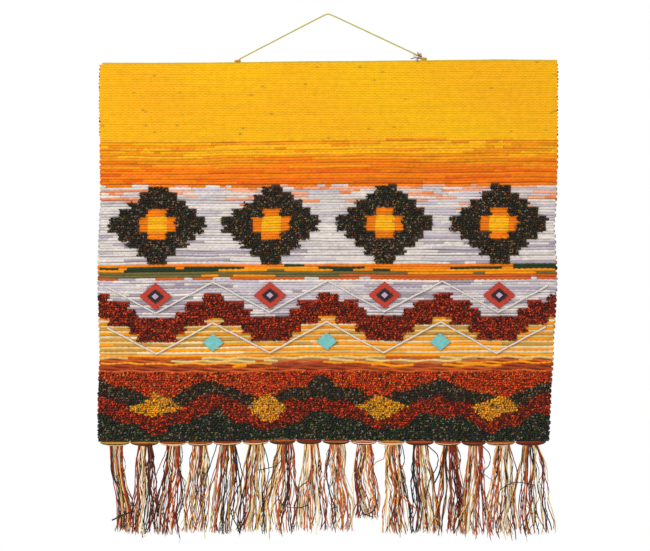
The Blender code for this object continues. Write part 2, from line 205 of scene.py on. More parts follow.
def cloth_place(across, down):
    """x and z on the cloth: across runs 0 to 1 from the left, down is in metres from the top edge."""
    across, down = np.broadcast_arrays(np.asarray(across, float), np.asarray(down, float))
    near = np.clip(TOP_CORNER - down, 0, TOP_CORNER)
    left = looked_up(SIDES, "left", down) + TOP_CORNER - np.sqrt(TOP_CORNER**2 - near**2)
    right = looked_up(SIDES, "right", down)
    top = looked_up(EDGES, "top", across)
    bottom = looked_up(EDGES, "bottom", across)
    return left + (right - left) * across, top + (bottom - top) * down / CLOTH_HEIGHT


def hem_level(x):
    """Height of the notches between scallops."""
    across = (x - SIDES[-1].left) / (SIDES[-1].right - SIDES[-1].left)
    return looked_up(EDGES, "bottom", across)


def hem_rise(x):
    """How far the hem is drawn up between its notches."""
    scallop = np.clip(np.searchsorted(SCALLOP_EDGES, x) - 1, 0, len(TASSELS) - 1)
    start, end = SCALLOP_EDGES[scallop], SCALLOP_EDGES[scallop + 1]
    inside = 1 - np.abs(2 * (x - start) / (end - start) - 1)
    return SCALLOP_RISE * np.clip(SCALLOP_STEEPNESS * inside, 0, 1)


def hem_lift(x, down):
    """How far the lowest rows are drawn up with the hem."""
    return hem_rise(x) * np.clip((down - CLOTH_HEIGHT + DRAWN_UP_FROM) / DRAWN_UP_OVER, 0, 1)


def drift(x, z, scale, seed):
    """Smooth noise from -1 to 1 at places on the cloth."""
    x, z = np.broadcast_arrays(np.asarray(x, float), np.asarray(z, float))
    flat = [noise.noise(Vector((a * scale, b * scale, seed))) for a, b in zip(x.ravel(), z.ravel())]
    return np.array(flat).reshape(x.shape)


def waver(x, z, down):
    """How far the rows at a place stray up or down from straight lines."""
    inside = np.clip((down - HEADING_HEIGHT) / WAVER_STARTS, 0, 1)
    inside = inside * np.clip((CLOTH_HEIGHT - down) / WAVER_ENDS, 0, 1)
    return inside * (WAVER * drift(x * 0.45, z, 15, 1.0) + FINE_WAVER * drift(x * 0.6, z, 42, 3.0))


def band_start(name):
    """Steps from the heading down to a band."""
    return sum(band.steps for band in BANDS[: [band.name for band in BANDS].index(name)])


def triangle_wave(across):
    """Goes from -1 at a repeat's ends to 1 at its middle; across is counted in steps."""
    return 1 - 4 * abs((across / REPEAT) % 1 - 0.5)


def streak(across, below, scale=0.075):
    """Smooth noise from -1 to 1 that lasts along the rows and changes from row to row."""
    return noise.noise(Vector((across * scale, below * 2.3, 8.0)))


def diamond_dye(across, step, below):
    """Diamonds of dark pile with a bright middle, on streaked pale rows."""
    from_middle = abs(math.floor(across) % REPEAT + 0.5 - REPEAT / 2)
    inside = DIAMOND_REACH - abs(math.floor(step) + 0.5 - BAND_MIDDLE) - from_middle
    if inside >= RING_STEPS:
        return "gold" if inside >= RING_STEPS + 1 else "tangerine"
    if inside >= 0:
        return "pile dark"
    if step < 3.4 and streak(across, below, 0.22) > 0.02 + 0.08 * step:
        return "salmon" if streak(across, below, 0.3) < 0.25 else "peach"
    tone = streak(across, below)
    if tone < -0.28:
        return "mauve" if step > 6 else "lilac"
    return "lilac" if tone > 0.24 else "pale"


def zigzag_dye(across, step, below):
    """A zigzag of rusty pile, with lilac and pale rows above it and straw rows below."""
    middle = BAND_MIDDLE + ZIGZAG_RISE * triangle_wave(math.floor(across) + 0.5)
    level = math.floor(step) - math.floor(middle - ZIGZAG_STEPS / 2 + 0.5)
    if 0 <= level < ZIGZAG_STEPS:
        return "pile red"
    tone = streak(across, below)
    if level < 0:
        return "mauve" if tone < -0.24 else "lilac" if tone > -0.02 else "pale"
    if math.floor(below * STEP_HEIGHT / YARN_PITCH) % 2:
        return "amber" if tone > -0.1 else "ochre"
    return "straw" if tone > -0.05 else "cream"


def border_dye(across, step):
    """The pile of the lowest band: uneven waves of orange, dark, red and green, with gold lozenges."""
    uneven = noise.noise(Vector((across * 0.42, step * 0.42, 12.0)))
    level = step - 1.3 * triangle_wave(across) + 1.1 * uneven
    from_middle = abs(across % REPEAT - REPEAT / 2)
    if abs(step - 4.6) + 0.62 * from_middle + 0.8 * uneven < 1.7:
        return "pile gold"
    for depth, name in ((2.3, "pile orange"), (4.2, "pile dark"), (6.4, "pile red")):
        if level < depth:
            return name
    return "pile green"


def motif_at(across, below):
    """The dye of the yarn, or the pile that covers it, at a place counted in steps."""
    band = next(band for band in reversed(BANDS) if below >= band_start(band.name))
    step = below - band_start(band.name)
    if band.name == "diamonds":
        return diamond_dye(across, step, below)
    if band.name == "zigzag":
        return zigzag_dye(across, step, below)
    if band.name == "pile":
        return border_dye(across, step)
    stripes = STRIPES[band.name]
    place = math.floor(step / band.steps * len(stripes) + 1.9 * streak(across, below))
    return stripes[min(max(place, 0), len(stripes) - 1)]


def yarn_dye(name):
    """A motif's dye, or the dye of the backing under its pile."""
    return dye(BACKING.get(name, name))


def feed(tree, socket, value):
    """Set a socket to a constant, or link it to an output or to a node's first output."""
    if isinstance(value, bpy.types.Node):
        value = value.outputs[0]
    if isinstance(value, bpy.types.NodeSocket):
        tree.links.new(value, socket)
    else:
        socket.default_value = value


def node(tree, kind, **sockets):
    """Add a shader or geometry node and feed its named sockets."""
    made = tree.nodes.new(kind)
    for name, value in sockets.items():
        feed(tree, made.inputs[name.replace("_", " ")], value)
    return made


def maths(tree, operation, *values):
    """Add a Math node and feed its sockets in their order."""
    made = tree.nodes.new("ShaderNodeMath")
    made.operation = operation
    for socket, value in zip(made.inputs, values):
        feed(tree, socket, value)
    return made


def wool_shader(name, sheen, sheen_roughness):
    """A dull material with a little sheen: itself, its tree, its shader and the place on the piece."""
    material = bpy.data.materials.new(name)
    material.use_nodes = True
    tree = material.node_tree
    shader = tree.nodes["Principled BSDF"]
    shader.inputs["Specular IOR Level"].default_value = 0.2
    shader.inputs["Sheen Weight"].default_value = sheen
    shader.inputs["Sheen Roughness"].default_value = sheen_roughness
    return material, tree, shader, node(tree, "ShaderNodeTexCoord").outputs["Object"]


def yarn_finish(name, ply_across, ply_down, ply_pitch, ply_depth, fluff=0.35, rough=0.9):
    """Dyed wool: the mesh's colour, mottled and streaked, with painted shade between slanting plies, and
    fibre fluff.

    The plies run along the cloth's x and z in the shares ply_across and ply_down.
    """
    material, tree, shader, place = wool_shader(name, 0.1, 0.5)
    colour = tree.nodes.new("ShaderNodeAttribute")
    colour.attribute_name = "yarn_colour"

    patches = node(tree, "ShaderNodeTexNoise", Vector=place, Scale=140.0, Detail=3.0)
    fibres = node(tree, "ShaderNodeTexNoise", Vector=place, Scale=1500.0, Detail=2.0)
    scale = (ply_across / ply_pitch, 0.0, ply_down / ply_pitch)
    turned = node(tree, "ShaderNodeMapping", Vector=place, Scale=scale)
    plies = node(tree, "ShaderNodeTexWave", Vector=turned, Scale=math.pi / 5, Distortion=0.6, Detail=1.0)
    plies.wave_type = "BANDS"
    plies.bands_direction = "DIAGONAL"
    ply_height_and_shade = plies.outputs["Fac"]

    # Patches and fibres mottle the colour; the ply wave darkens it between the plies as painted shade
    light = maths(tree, "MULTIPLY_ADD", patches, 0.30, 0.70)
    light = maths(tree, "MULTIPLY_ADD", fibres, 0.24, light)
    light = maths(tree, "MULTIPLY_ADD", ply_height_and_shade, 0.14, light)
    shaded = tree.nodes.new("ShaderNodeVectorMath")
    shaded.operation = "SCALE"
    feed(tree, shaded.inputs[0], colour)
    feed(tree, shaded.inputs["Scale"], light)
    feed(tree, shader.inputs["Base Color"], shaded)

    height = maths(tree, "MULTIPLY_ADD", fibres, fluff, ply_height_and_shade)
    bump = node(tree, "ShaderNodeBump", Height=height, Distance=ply_depth, Strength=0.8)
    feed(tree, shader.inputs["Normal"], bump)
    feed(tree, shader.inputs["Roughness"], maths(tree, "MULTIPLY_ADD", patches, -0.12, rough + 0.06))
    return material


def new_piece(name, vertices, faces, material, colours=None, domain="POINT", smooth=True):
    """An object from points and faces, with a colour for each point or each face."""
    mesh = bpy.data.meshes.new(name)
    mesh.from_pydata([tuple(vertex) for vertex in vertices], [], [tuple(face) for face in faces])
    mesh.materials.append(material)
    if colours is not None:
        full = np.ones((len(colours), 4))
        full[:, :3] = colours
        mesh.attributes.new("yarn_colour", "FLOAT_COLOR", domain).data.foreach_set("color", full.ravel())
    if smooth:
        mesh.shade_smooth()
    piece = bpy.data.objects.new(name, mesh)
    bpy.context.scene.collection.objects.link(piece)
    return piece


def ground_sheet():
    """A closed thin sheet on the cloth's outline, with a cell for each step of the pattern."""
    heading_downs = np.linspace(GROUND_INSET, HEADING_HEIGHT, HEADING_CELLS + 1)[:-1]
    pattern_downs = HEADING_HEIGHT + np.arange(STEPS + 1) * STEP_HEIGHT
    downs = np.concatenate([heading_downs, pattern_downs])
    downs[-1] -= GROUND_INSET
    acrosses = np.linspace(0, 1, STEP_COLUMNS + 1)
    acrosses[[0, -1]] += np.array([1, -1]) * GROUND_INSET / CLOTH_WIDTH
    across, down = np.meshgrid(acrosses, downs)
    x, z = cloth_place(across, down)
    z = z + waver(x, z, down) + hem_lift(x, down)
    count = x.size
    front = np.column_stack([x.ravel(), np.full(count, GROUND_FRONT), z.ravel()])
    back = np.column_stack([x.ravel(), np.full(count, GROUND_BACK), z.ravel()])
    net = np.arange(count).reshape(x.shape)
    quads = np.stack([net[1:, :-1], net[1:, 1:], net[:-1, 1:], net[:-1, :-1]], axis=-1).reshape(-1, 4)
    rim = np.concatenate([net[0, :-1], net[:-1, -1], net[-1, :0:-1], net[:0:-1, 0]])
    after = np.roll(rim, -1)
    walls = np.column_stack([rim, after, after + count, rim + count])
    faces = np.vstack([quads, quads[:, ::-1] + count, walls])

    cells = []
    for row in range(len(downs) - 1):
        for column in range(STEP_COLUMNS):
            name = "gold" if row < HEADING_CELLS else motif_at(column + 0.5, row - HEADING_CELLS + 0.5)
            # Each cell is its motif's yarn colour darkened: painted shade for the lines between the rows
            cells.append(yarn_dye(name) * GROUND_SHADE)
    colours = np.vstack([cells, cells, np.tile(dye("umber"), (len(walls), 1))])
    return np.vstack([front, back]), faces, colours


ground_wool = yarn_finish("ground_jute", 1.0, 0.0, 0.0022, 0.0002)
ground_points, ground_faces, ground_colours = ground_sheet()
ground_cloth = new_piece(
    "ground_cloth", ground_points, ground_faces, ground_wool, ground_colours, "FACE", smooth=False
)
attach(ground_cloth, "root")
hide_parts("woven_panel")


# Heading
# The top fifth is plain marigold cloth with no wool on it, woven of thin jute weft that is beaten
# down over the warp, so only the weft shows, with slubs, streaks and a few darker specks.
HEADING_ROWS = 45
HEADING_PITCH = HEADING_HEIGHT / HEADING_ROWS
WARP_PITCH = 0.0040
WEFT_BEAD = 0.00016
WEFT_FULLNESS = 0.62
SPECK_SHARE = 0.006
CLOTH_MIDDLE_Y = 0.0001


def start_tree(name, sockets):
    """A geometry tree with its named inputs, and the outputs that hand them on."""
    tree = bpy.data.node_groups.new(name, "GeometryNodeTree")
    for socket, kind, value in sockets:
        made = tree.interface.new_socket(socket, in_out="INPUT", socket_type="NodeSocket" + kind)
        if value is not None:
            made.default_value = value
    tree.interface.new_socket("Yarns", in_out="OUTPUT", socket_type="NodeSocketGeometry")
    return tree, tree.nodes.new("NodeGroupInput").outputs


def end_tree(tree, drawn, yarn):
    """Realize what is drawn, smooth it, give it its yarn and hand it out."""
    real = node(tree, "GeometryNodeRealizeInstances", Geometry=drawn)
    smooth = node(tree, "GeometryNodeSetShadeSmooth", Geometry=real)
    dyed = node(tree, "GeometryNodeSetMaterial", Geometry=smooth, Material=yarn)
    node(tree, "NodeGroupOutput", Yarns=dyed)
    return tree


def point_value(tree, name, kind):
    """Add the node that reads a named value of each point."""
    made = tree.nodes.new("GeometryNodeInputNamedAttribute")
    made.data_type = kind
    made.inputs["Name"].default_value = name
    return made


def yarn_tree():
    """Node tree that draws an oval yarn along each run of edges, as wide as its points say."""
    tree, given = start_tree(
        "yarn along its run",
        (
            ("Runs", "Geometry", None),
            ("Sides", "Int", 6),
            ("Depth", "Float", 1.0),
            ("Yarn", "Material", None),
        ),
    )
    runs = node(tree, "GeometryNodeMeshToCurve", Mesh=given["Runs"])
    upright = node(tree, "GeometryNodeSetCurveNormal", Curve=runs)
    upright.mode = "Z_UP"
    section = node(tree, "GeometryNodeCurvePrimitiveCircle", Resolution=given["Sides"], Radius=1.0)
    scale = node(tree, "ShaderNodeCombineXYZ", X=given["Depth"], Y=1.0, Z=1.0)
    oval = node(tree, "GeometryNodeTransform", Geometry=section, Scale=scale)
    width = point_value(tree, "width", "FLOAT")
    drawn = node(
        tree, "GeometryNodeCurveToMesh", Curve=upright, Profile_Curve=oval, Scale=width, Fill_Caps=True
    )
    return end_tree(tree, drawn, given["Yarn"])


YARN_TREE = yarn_tree()


def grow(name, guide, tree, **inputs):
    """Run a node tree on a guide mesh and keep the result as a plain piece."""
    holder = bpy.data.objects.new(name, guide)
    bpy.context.scene.collection.objects.link(holder)
    modifier = holder.modifiers.new("grow", "NODES")
    modifier.node_group = tree
    for item in tree.interface.items_tree:
        if item.in_out == "INPUT" and item.name in inputs:
            modifier[item.identifier] = inputs[item.name]
    depsgraph = bpy.context.evaluated_depsgraph_get()
    depsgraph.update()
    grown = holder.evaluated_get(depsgraph)
    mesh = bpy.data.meshes.new_from_object(grown, preserve_all_data_layers=True, depsgraph=depsgraph)
    holder.modifiers.clear()
    holder.data = mesh
    bpy.data.meshes.remove(guide)
    mesh.name = name
    return holder


def guide_mesh(name, places, edges, widths, colours):
    """Points joined by edges, each with a width and a colour."""
    guide = bpy.data.meshes.new(name)
    guide.vertices.add(len(places))
    guide.vertices.foreach_set("co", np.asarray(places, dtype=np.float32).ravel())
    guide.edges.add(len(edges))
    if len(edges):
        guide.edges.foreach_set("vertices", np.asarray(edges, dtype=np.int32).ravel())
    guide.attributes.new("width", "FLOAT", "POINT").data.foreach_set("value", np.asarray(widths, float))
    full = np.ones((len(places), 4))
    full[:, :3] = colours
    guide.attributes.new("yarn_colour", "FLOAT_COLOR", "POINT").data.foreach_set("color", full.ravel())
    return guide


def draw_yarns(name, runs, material, sides=6, depth=1.0):
    """One piece from many runs of yarn, each given as its points, half widths and colours."""
    places = np.vstack([run[0] for run in runs])
    widths = np.concatenate([np.broadcast_to(run[1], len(run[0])) for run in runs])
    colours = np.vstack([np.broadcast_to(run[2], (len(run[0]), 3)) for run in runs])
    edges = []
    start = 0
    for run in runs:
        step = np.arange(start, start + len(run[0]) - 1)
        edges.append(np.column_stack([step, step + 1]))
        start += len(run[0])
    guide = guide_mesh(name, places, np.vstack(edges), widths, colours)
    return grow(name, guide, YARN_TREE, Sides=sides, Depth=depth, Yarn=material)


def heading_runs():
    """The weft of the heading, row by row."""
    chance = np.random.default_rng(11)
    beads = int(CLOTH_WIDTH / WARP_PITCH)
    across = np.linspace(0.001, 0.999, beads + 1)
    runs = []
    for row in range(HEADING_ROWS):
        x, z = cloth_place(across, (row + 0.5) * HEADING_PITCH)
        slub = drift(x, z * 8, 9, 4.0)
        tone = 1 + 0.05 * drift(x, z * 12, 26, 9.0) - 0.10 * np.clip(slub - 0.25, 0, 1)
        tone = tone + chance.normal(0, 0.012)
        mix = np.clip(0.5 + drift(x, z * 1.5, 6, 7.0), 0, 1)[:, None]
        colour = (dye("marigold") * (1 - mix) + dye("gold") * mix) * tone[:, None]
        speck = chance.random(len(x)) < SPECK_SHARE
        colour[speck] = dye("olive") * 0.5 + colour[speck] * 0.5
        # The top row is drawn darker and olive: painted shade where the cloth folds over its top edge
        if row == 0:
            colour = colour * 0.40 + dye("cord yellow") * 0.43
        width = WEFT_FULLNESS + 0.05 * drift(x, z * 30, 45, 5.0) + chance.normal(0, 0.012, len(x))
        y = CLOTH_MIDDLE_Y + WEFT_BEAD * np.where((np.arange(len(x)) + row) % 2, 1.0, -1.0)
        z = z + 0.0003 * drift(x, z, 14, 2.0) + chance.normal(0, 0.00006)
        runs.append((np.column_stack([x, y, z]), HEADING_PITCH * width, colour))
    return runs


heading_jute = yarn_finish("heading_jute", 1.0, 0.6, 0.0021, 0.00012, fluff=0.6)
heading = draw_yarns("heading_weft", heading_runs(), heading_jute, sides=6, depth=0.95)
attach(heading, "root")


# Yarn rows
# Below the heading thick wool yarns lie side by side across the cloth. Each row changes colour at
# the edge of a motif, where one yarn turns back and the next begins: stripes, stepped diamonds,
# a zigzag, a band of wavy rows, and a border that is all pile.
ROW_POINTS = 161
ROW_DEPTH = 0.80
COVERED_SKIP = 3
WARP_BEAD = 0.05
WARP_DIP = 0.00018
ROW_STRAY = 0.00028
ROW_DRIFT = 0.00055
WAVE_HEIGHT = 0.0011
WAVE_LENGTH = 0.046
ROW_FULLNESS = 0.555
EDGE_STRAY = 0.4
LOWER_ROWS_Z = -0.40


def row_places(across, row, chance):
    """The line that a yarn row takes: rows waver together, and those of the wavy band swing more."""
    down = HEADING_HEIGHT + (row + 0.5) * YARN_PITCH
    x, z = cloth_place(across, down)
    z = z + waver(x, z, down) + hem_lift(x, down) + chance.normal(0, ROW_STRAY)
    z = z + ROW_DRIFT * drift(x, 0, 24, row * 1.7)
    below = (down - HEADING_HEIGHT) / STEP_HEIGHT - band_start("waves")
    if 0 <= below < 2:
        z = z + WAVE_HEIGHT * np.sin(2 * math.pi * x / WAVE_LENGTH + row * 1.9)
    return x, z


def motif_names(across, below):
    """The motif at each place along a line of the cloth; its edges stray a little off the steps."""
    astray = EDGE_STRAY * drift(across * 20, below * 2.1, 1, 5.0)
    columns = np.clip(across * STEP_COLUMNS + astray, 0, STEP_COLUMNS - 0.01)
    steps = np.clip(below + EDGE_STRAY * astray, 0, STEPS - 0.01)
    return [motif_at(column, step) for column, step in zip(columns, steps)]


def wool_runs():
    """Every yarn row below the heading, cut into runs of one colour."""
    chance = np.random.default_rng(23)
    across = np.linspace(0, 1, ROW_POINTS)
    runs = []
    for row in range(YARN_ROWS):
        x, z = row_places(across, row, chance)
        thick = 1 + chance.normal(0, 0.06)
        names = motif_names(across, (row + 0.5) * YARN_PITCH / STEP_HEIGHT)
        for i in range(1, ROW_POINTS):
            if i == ROW_POINTS - 1 or names[i] not in (names[i - 1], names[i + 1]):
                names[i] = names[i - 1]
        names[0] = names[1]
        cuts = [0] + [i for i in range(1, ROW_POINTS) if names[i] != names[i - 1]] + [ROW_POINTS]
        for first, last in zip(cuts, cuts[1:]):
            part = np.arange(first, last)
            if names[first] in BACKING:
                part = np.append(part[:-1:COVERED_SKIP], part[-1])
            tone = 1 + chance.normal(0, 0.06) + 0.12 * drift(x[part], z[part] * 5, 30, row * 0.7)
            tone = tone + chance.normal(0, 0.05, len(part))
            bead = np.where((part + row) % 2, 1.0, -1.0)
            width = YARN_PITCH * (ROW_FULLNESS * thick + 0.10 * drift(x[part], z[part] * 9, 34, row * 1.3))
            width = width * (1 + WARP_BEAD * bead)
            width[[0, -1]] *= 0.9
            y = CLOTH_MIDDLE_Y - 0.0002 * chance.random(len(part)) - WARP_DIP * bead
            places = np.column_stack([x[part], y, z[part]])
            if last < ROW_POINTS:
                places[-1, 0] = x[last] - 0.0002
            runs.append((places, width, yarn_dye(names[first]) * tone[:, None]))
    return runs


row_wool = yarn_finish("row_wool", 1.0, 0.7, 0.0034, 0.00028)
all_rows = wool_runs()
for rows_name, lower in (("yarn_rows_upper", False), ("yarn_rows_lower", True)):
    chosen = [run for run in all_rows if (run[0][0, 2] <= LOWER_ROWS_Z) == lower]
    rows = draw_yarns(rows_name, chosen, row_wool, 6, ROW_DEPTH)
    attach(rows, "root")


# Looped pile
# The dark and rusty motifs are hooked: short loops of several dyes mixed, pulled to the front so
# close that they stand about 3 mm proud and hide the cloth.
LOOP_PITCH_ACROSS = 0.00300
LOOP_PITCH_DOWN = 0.00285
LOOP_HALF_WIDTH = 0.00090
LOOP_RISE = 0.0029
LOOP_YARN = 0.00086
LOOP_BASE_Y = -0.0012
LOOP_HEM_GAP = 0.0004
LOOP_ASTRAY = 0.00045
LOOP_ASTRAY_Y = 0.00025
LOOP_SIZES = 0.10
LOOP_SHADES = 0.20
LOOP_LEAN = 0.25

# Shares of the dyes in each mixed pile
PILES = {
    "pile dark": (
        *(("bottle", 0.11), ("forest", 0.14), ("charcoal", 0.29), ("umber", 0.24)),
        *(("ash", 0.11), ("olive", 0.06), ("tan", 0.05)),
    ),
    "pile green": (
        *(("forest", 0.17), ("charcoal", 0.30), ("bottle", 0.12), ("olive", 0.09)),
        *(("ash", 0.12), ("umber", 0.20)),
    ),
    "pile red": (
        *(("brick", 0.32), ("maroon", 0.20), ("rust", 0.18), ("vermilion", 0.18)),
        *(("charcoal", 0.08), ("umber", 0.04)),
    ),
    "pile orange": (
        *(("vermilion", 0.46), ("rust", 0.18), ("flame", 0.14), ("brick", 0.12)),
        *(("maroon", 0.04), ("charcoal", 0.02), ("ochre", 0.04)),
    ),
    "pile gold": (("gold", 0.34), ("ochre", 0.28), ("amber", 0.26), ("umber", 0.12)),
}


def loop_tree():
    """Node tree that stands a loop of yarn on each point, turned and sized as the point says."""
    tree, given = start_tree(
        "loops of the pile",
        (
            ("Places", "Geometry", None),
            ("Half Width", "Float", LOOP_HALF_WIDTH),
            ("Rise", "Float", LOOP_RISE),
            ("Thickness", "Float", LOOP_YARN),
            ("Yarn", "Material", None),
        ),
    )
    arch = node(tree, "GeometryNodeCurveArc", Resolution=4, Radius=1.0, Sweep_Angle=math.pi)
    stretch = node(tree, "ShaderNodeCombineXYZ", X=given["Half Width"], Y=given["Rise"], Z=1.0)
    raised = node(tree, "GeometryNodeTransform", Geometry=arch, Rotation=(math.pi, 0.0, 0.0), Scale=stretch)
    section = node(tree, "GeometryNodeCurvePrimitiveCircle", Resolution=5, Radius=given["Thickness"])
    loop = node(tree, "GeometryNodeCurveToMesh", Curve=raised, Profile_Curve=section, Fill_Caps=True)
    turn = point_value(tree, "turn", "FLOAT_VECTOR")
    size = point_value(tree, "width", "FLOAT")
    stood = node(
        tree, "GeometryNodeInstanceOnPoints", Points=given["Places"], Instance=loop, Rotation=turn, Scale=size
    )
    return end_tree(tree, stood, given["Yarn"])


LOOP_TREE = loop_tree()


def loop_places(chance):
    """Staggered places on the cloth, with the pile that each lies in."""
    found = []
    covered = CLOTH_HEIGHT - LOOP_HEM_GAP - HEADING_HEIGHT
    lines = int(covered / LOOP_PITCH_DOWN)
    for line in range(lines):
        down = HEADING_HEIGHT + (line + 0.5) * covered / lines
        count = int(CLOTH_WIDTH / LOOP_PITCH_ACROSS)
        across = (np.arange(count) + 0.25 + 0.5 * (line % 2)) / count
        x, z = cloth_place(across, down)
        z = z + waver(x, z, down) + hem_lift(x, down)
        for place, name in enumerate(motif_names(across, (down - HEADING_HEIGHT) / STEP_HEIGHT)):
            if name in PILES:
                astray = chance.normal(0, LOOP_ASTRAY, 2)
                found.append((name, x[place] + astray[0], z[place] + astray[1]))
    return found


pile_wool = yarn_finish("pile_wool", 0.8, 0.8, 0.0019, 0.0002, fluff=0.8)
pile_chance = np.random.default_rng(5)
pile_places = loop_places(pile_chance)
PILE_PARTS = (
    ("pile_diamonds", -0.36, 0.0),
    ("pile_zigzag", -0.49, -0.36),
    ("pile_border_upper", -0.555, -0.49),
    ("pile_border_lower", -0.70, -0.555),
)
for pile_name, low, high in PILE_PARTS:
    chosen = [place for place in pile_places if low < place[2] <= high]
    count = len(chosen)
    spots = np.array([(x, LOOP_BASE_Y, z) for _, x, z in chosen])
    spots[:, 1] += pile_chance.normal(0, LOOP_ASTRAY_Y, count)
    colours = np.empty((count, 3))
    for number, (name, _, _) in enumerate(chosen):
        names, shares = zip(*PILES[name])
        colours[number] = dye(pile_chance.choice(names, p=shares))
        colours[number] *= max(0.4, 1 + pile_chance.normal(0, LOOP_SHADES))
    guide = guide_mesh(pile_name, spots, [], 1 + pile_chance.normal(0, LOOP_SIZES, count), colours)
    leans = pile_chance.normal(0, LOOP_LEAN, (count, 2))
    turns = np.column_stack([leans[:, 0], pile_chance.uniform(0, math.pi, count), leans[:, 1]])
    guide.attributes.new("turn", "FLOAT_VECTOR", "POINT").data.foreach_set("vector", turns.ravel())
    pile = grow(pile_name, guide, LOOP_TREE, Yarn=pile_wool)
    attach(pile, "root")


# Selvedge turns
# At the sides each yarn bends round the outermost warp into the next row, so the edge is a line of
# small uneven loops.
TURN_POINTS = 6
TURN_REACH = 0.0014
TURN_INSET = 0.0012
TURN_ANGLE = 0.62 * math.pi


def selvedge_runs():
    """The bends that join each row to the next, left and right by turns."""
    chance = np.random.default_rng(31)
    runs = []
    rows = [(HEADING_PITCH * (row + 0.5), HEADING_PITCH, None) for row in range(1, HEADING_ROWS - 1)]
    rows += [(HEADING_HEIGHT + YARN_PITCH * (row + 0.5), YARN_PITCH, row) for row in range(YARN_ROWS - 1)]
    for number, (down, pitch, row) in enumerate(rows):
        side = number % 2
        x, z = cloth_place(float(side), down)
        x_next, z_next = cloth_place(float(side), down + pitch)
        way = 1 if side else -1
        angle = np.linspace(-TURN_ANGLE, TURN_ANGLE, TURN_POINTS)
        reach = TURN_REACH * chance.uniform(0.5, 1.5)
        middle = (z + z_next) / 2 + chance.normal(0, 0.0003)
        px = (x + x_next) / 2 + way * (reach * np.cos(angle) - TURN_INSET)
        pz = middle + (pitch / 2) * np.sin(angle)
        py = CLOTH_MIDDLE_Y + 0.0004 * np.sin(angle) * chance.uniform(0.2, 1)
        # Each turn is drawn darker than its row's yarn: painted shade where the yarn bends round the edge
        if row is None:
            colour = dye("gold") * chance.uniform(0.55, 0.95)
            if chance.random() < 0.3:
                colour = dye("umber")
        else:
            below = (row + 1) * YARN_PITCH / STEP_HEIGHT
            colour = yarn_dye(motif_at(0.3 + side * (STEP_COLUMNS - 0.6), below)) * chance.uniform(0.6, 0.95)
        runs.append((np.column_stack([px, py, pz]), pitch * chance.uniform(0.38, 0.48), colour))
    return runs


selvedges = draw_yarns("selvedge_turns", selvedge_runs(), row_wool, 6, 1.0)
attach(selvedges, "root")


# Felt patches
# Diamonds cut by hand from thin wool felt lie on the zigzag band: red, black and lilac ones in
# stacks above its dips, and small blue ones below its peaks, all but the lilac ones whipped down with
# fine thread.
FELT_THICK = 0.0013
FELT_ROUND = 0.0003
FELT_GAP = 0.0003
ROWS_FRONT_Y = -0.002
EDGE_STEPS = 9
STITCH_SPACING = 0.0052
STITCH_RADIUS = 0.00026
STITCH_RISES = (FELT_THICK * 0.9, -0.0001, -0.0002, 0.0002)
Patch = namedtuple("Patch", "name layer width height dye thread")
STACK = (
    Patch("felt_red", 0, 0.046, 0.038, "felt red", "maroon"),
    Patch("felt_black", 1, 0.024, 0.020, "felt black", "charcoal"),
    Patch("felt_lilac", 2, 0.010, 0.009, "felt lilac", "white"),
)
SMALL_PATCH = Patch("felt_blue", 0, 0.030, 0.025, "felt blue", "mauve")
STACK_RISE = 0.0305
SMALL_PATCH_DROP = 0.0345


def felt_finish(name, colour):
    """Pressed wool: one dye, faintly clouded, with a matted fibre surface."""
    material, tree, shader, place = wool_shader(name, 0.25, 0.6)
    clouds = node(tree, "ShaderNodeTexNoise", Vector=place, Scale=220.0, Detail=4.0)
    mat = node(tree, "ShaderNodeTexNoise", Vector=place, Scale=1900.0, Detail=3.0, Distortion=1.5)
    ramp = tree.nodes.new("ShaderNodeValToRGB")
    dark, light = ramp.color_ramp.elements
    dark.position = 0.3
    dark.color = (*(dye(colour) * 0.72), 1)
    light.position = 0.7
    light.color = (*np.clip(dye(colour) * 1.22 + 0.004, 0, 1), 1)
    half = maths(tree, "MULTIPLY", clouds, 0.5)
    feed(tree, ramp.inputs["Fac"], maths(tree, "MULTIPLY_ADD", mat, 0.5, half))
    feed(tree, shader.inputs["Base Color"], ramp)
    bump = node(tree, "ShaderNodeBump", Height=mat, Distance=0.00025, Strength=0.7)
    feed(tree, shader.inputs["Normal"], bump)
    feed(tree, shader.inputs["Roughness"], maths(tree, "MULTIPLY_ADD", clouds, -0.1, 1.0))
    return material


def diamond_outline(width, height, chance):
    """A diamond cut by hand: its sides waver, and its corners are a little blunt."""
    corners = np.array([(0.5, 0), (0, 0.5), (-0.5, 0), (0, -0.5)]) * (width, height)
    outline = []
    for here in range(4):
        start, end = corners[here], corners[(here + 1) % 4]
        outward = np.array([(end - start)[1], -(end - start)[0]])
        outward = outward / np.linalg.norm(outward)
        for step in range(EDGE_STEPS):
            share = (step + 0.4) / (EDGE_STEPS - 0.2)
            outline.append(start + (end - start) * share + outward * chance.normal(0, width * 0.004))
    return np.array(outline)


def felt_shape(outline, place, y_back):
    """A flat patch with softly rounded edges, from its outline."""
    count = len(outline)
    size = np.linalg.norm(outline, axis=1, keepdims=True)
    rings = []
    for inset, depth in ((FELT_ROUND, 0.0), (0.0, 0.3), (0.0, 0.7), (FELT_ROUND, 1.0)):
        ring = outline * (1 - inset / size)
        y = np.full(count, y_back - FELT_THICK * depth)
        rings.append(np.column_stack([place[0] + ring[:, 0], y, place[1] + ring[:, 1]]))
    faces = []
    for ring in range(len(rings) - 1):
        for here in range(count):
            after = (here + 1) % count
            low, high = ring * count, (ring + 1) * count
            faces.append((low + here, high + here, high + after, low + after))
    middle = len(rings) * count
    for here in range(count):
        after = (here + 1) % count
        faces.append((here, after, middle))
        faces.append(((len(rings) - 1) * count + after, (len(rings) - 1) * count + here, middle + 1))
    ends = [(place[0], y_back, place[1]), (place[0], y_back - FELT_THICK, place[1])]
    return np.vstack(rings + [ends]), faces


def lengths_along(points):
    """How far along its line each point lies."""
    return np.concatenate([[0], np.cumsum(np.linalg.norm(np.diff(points, axis=0), axis=1))])


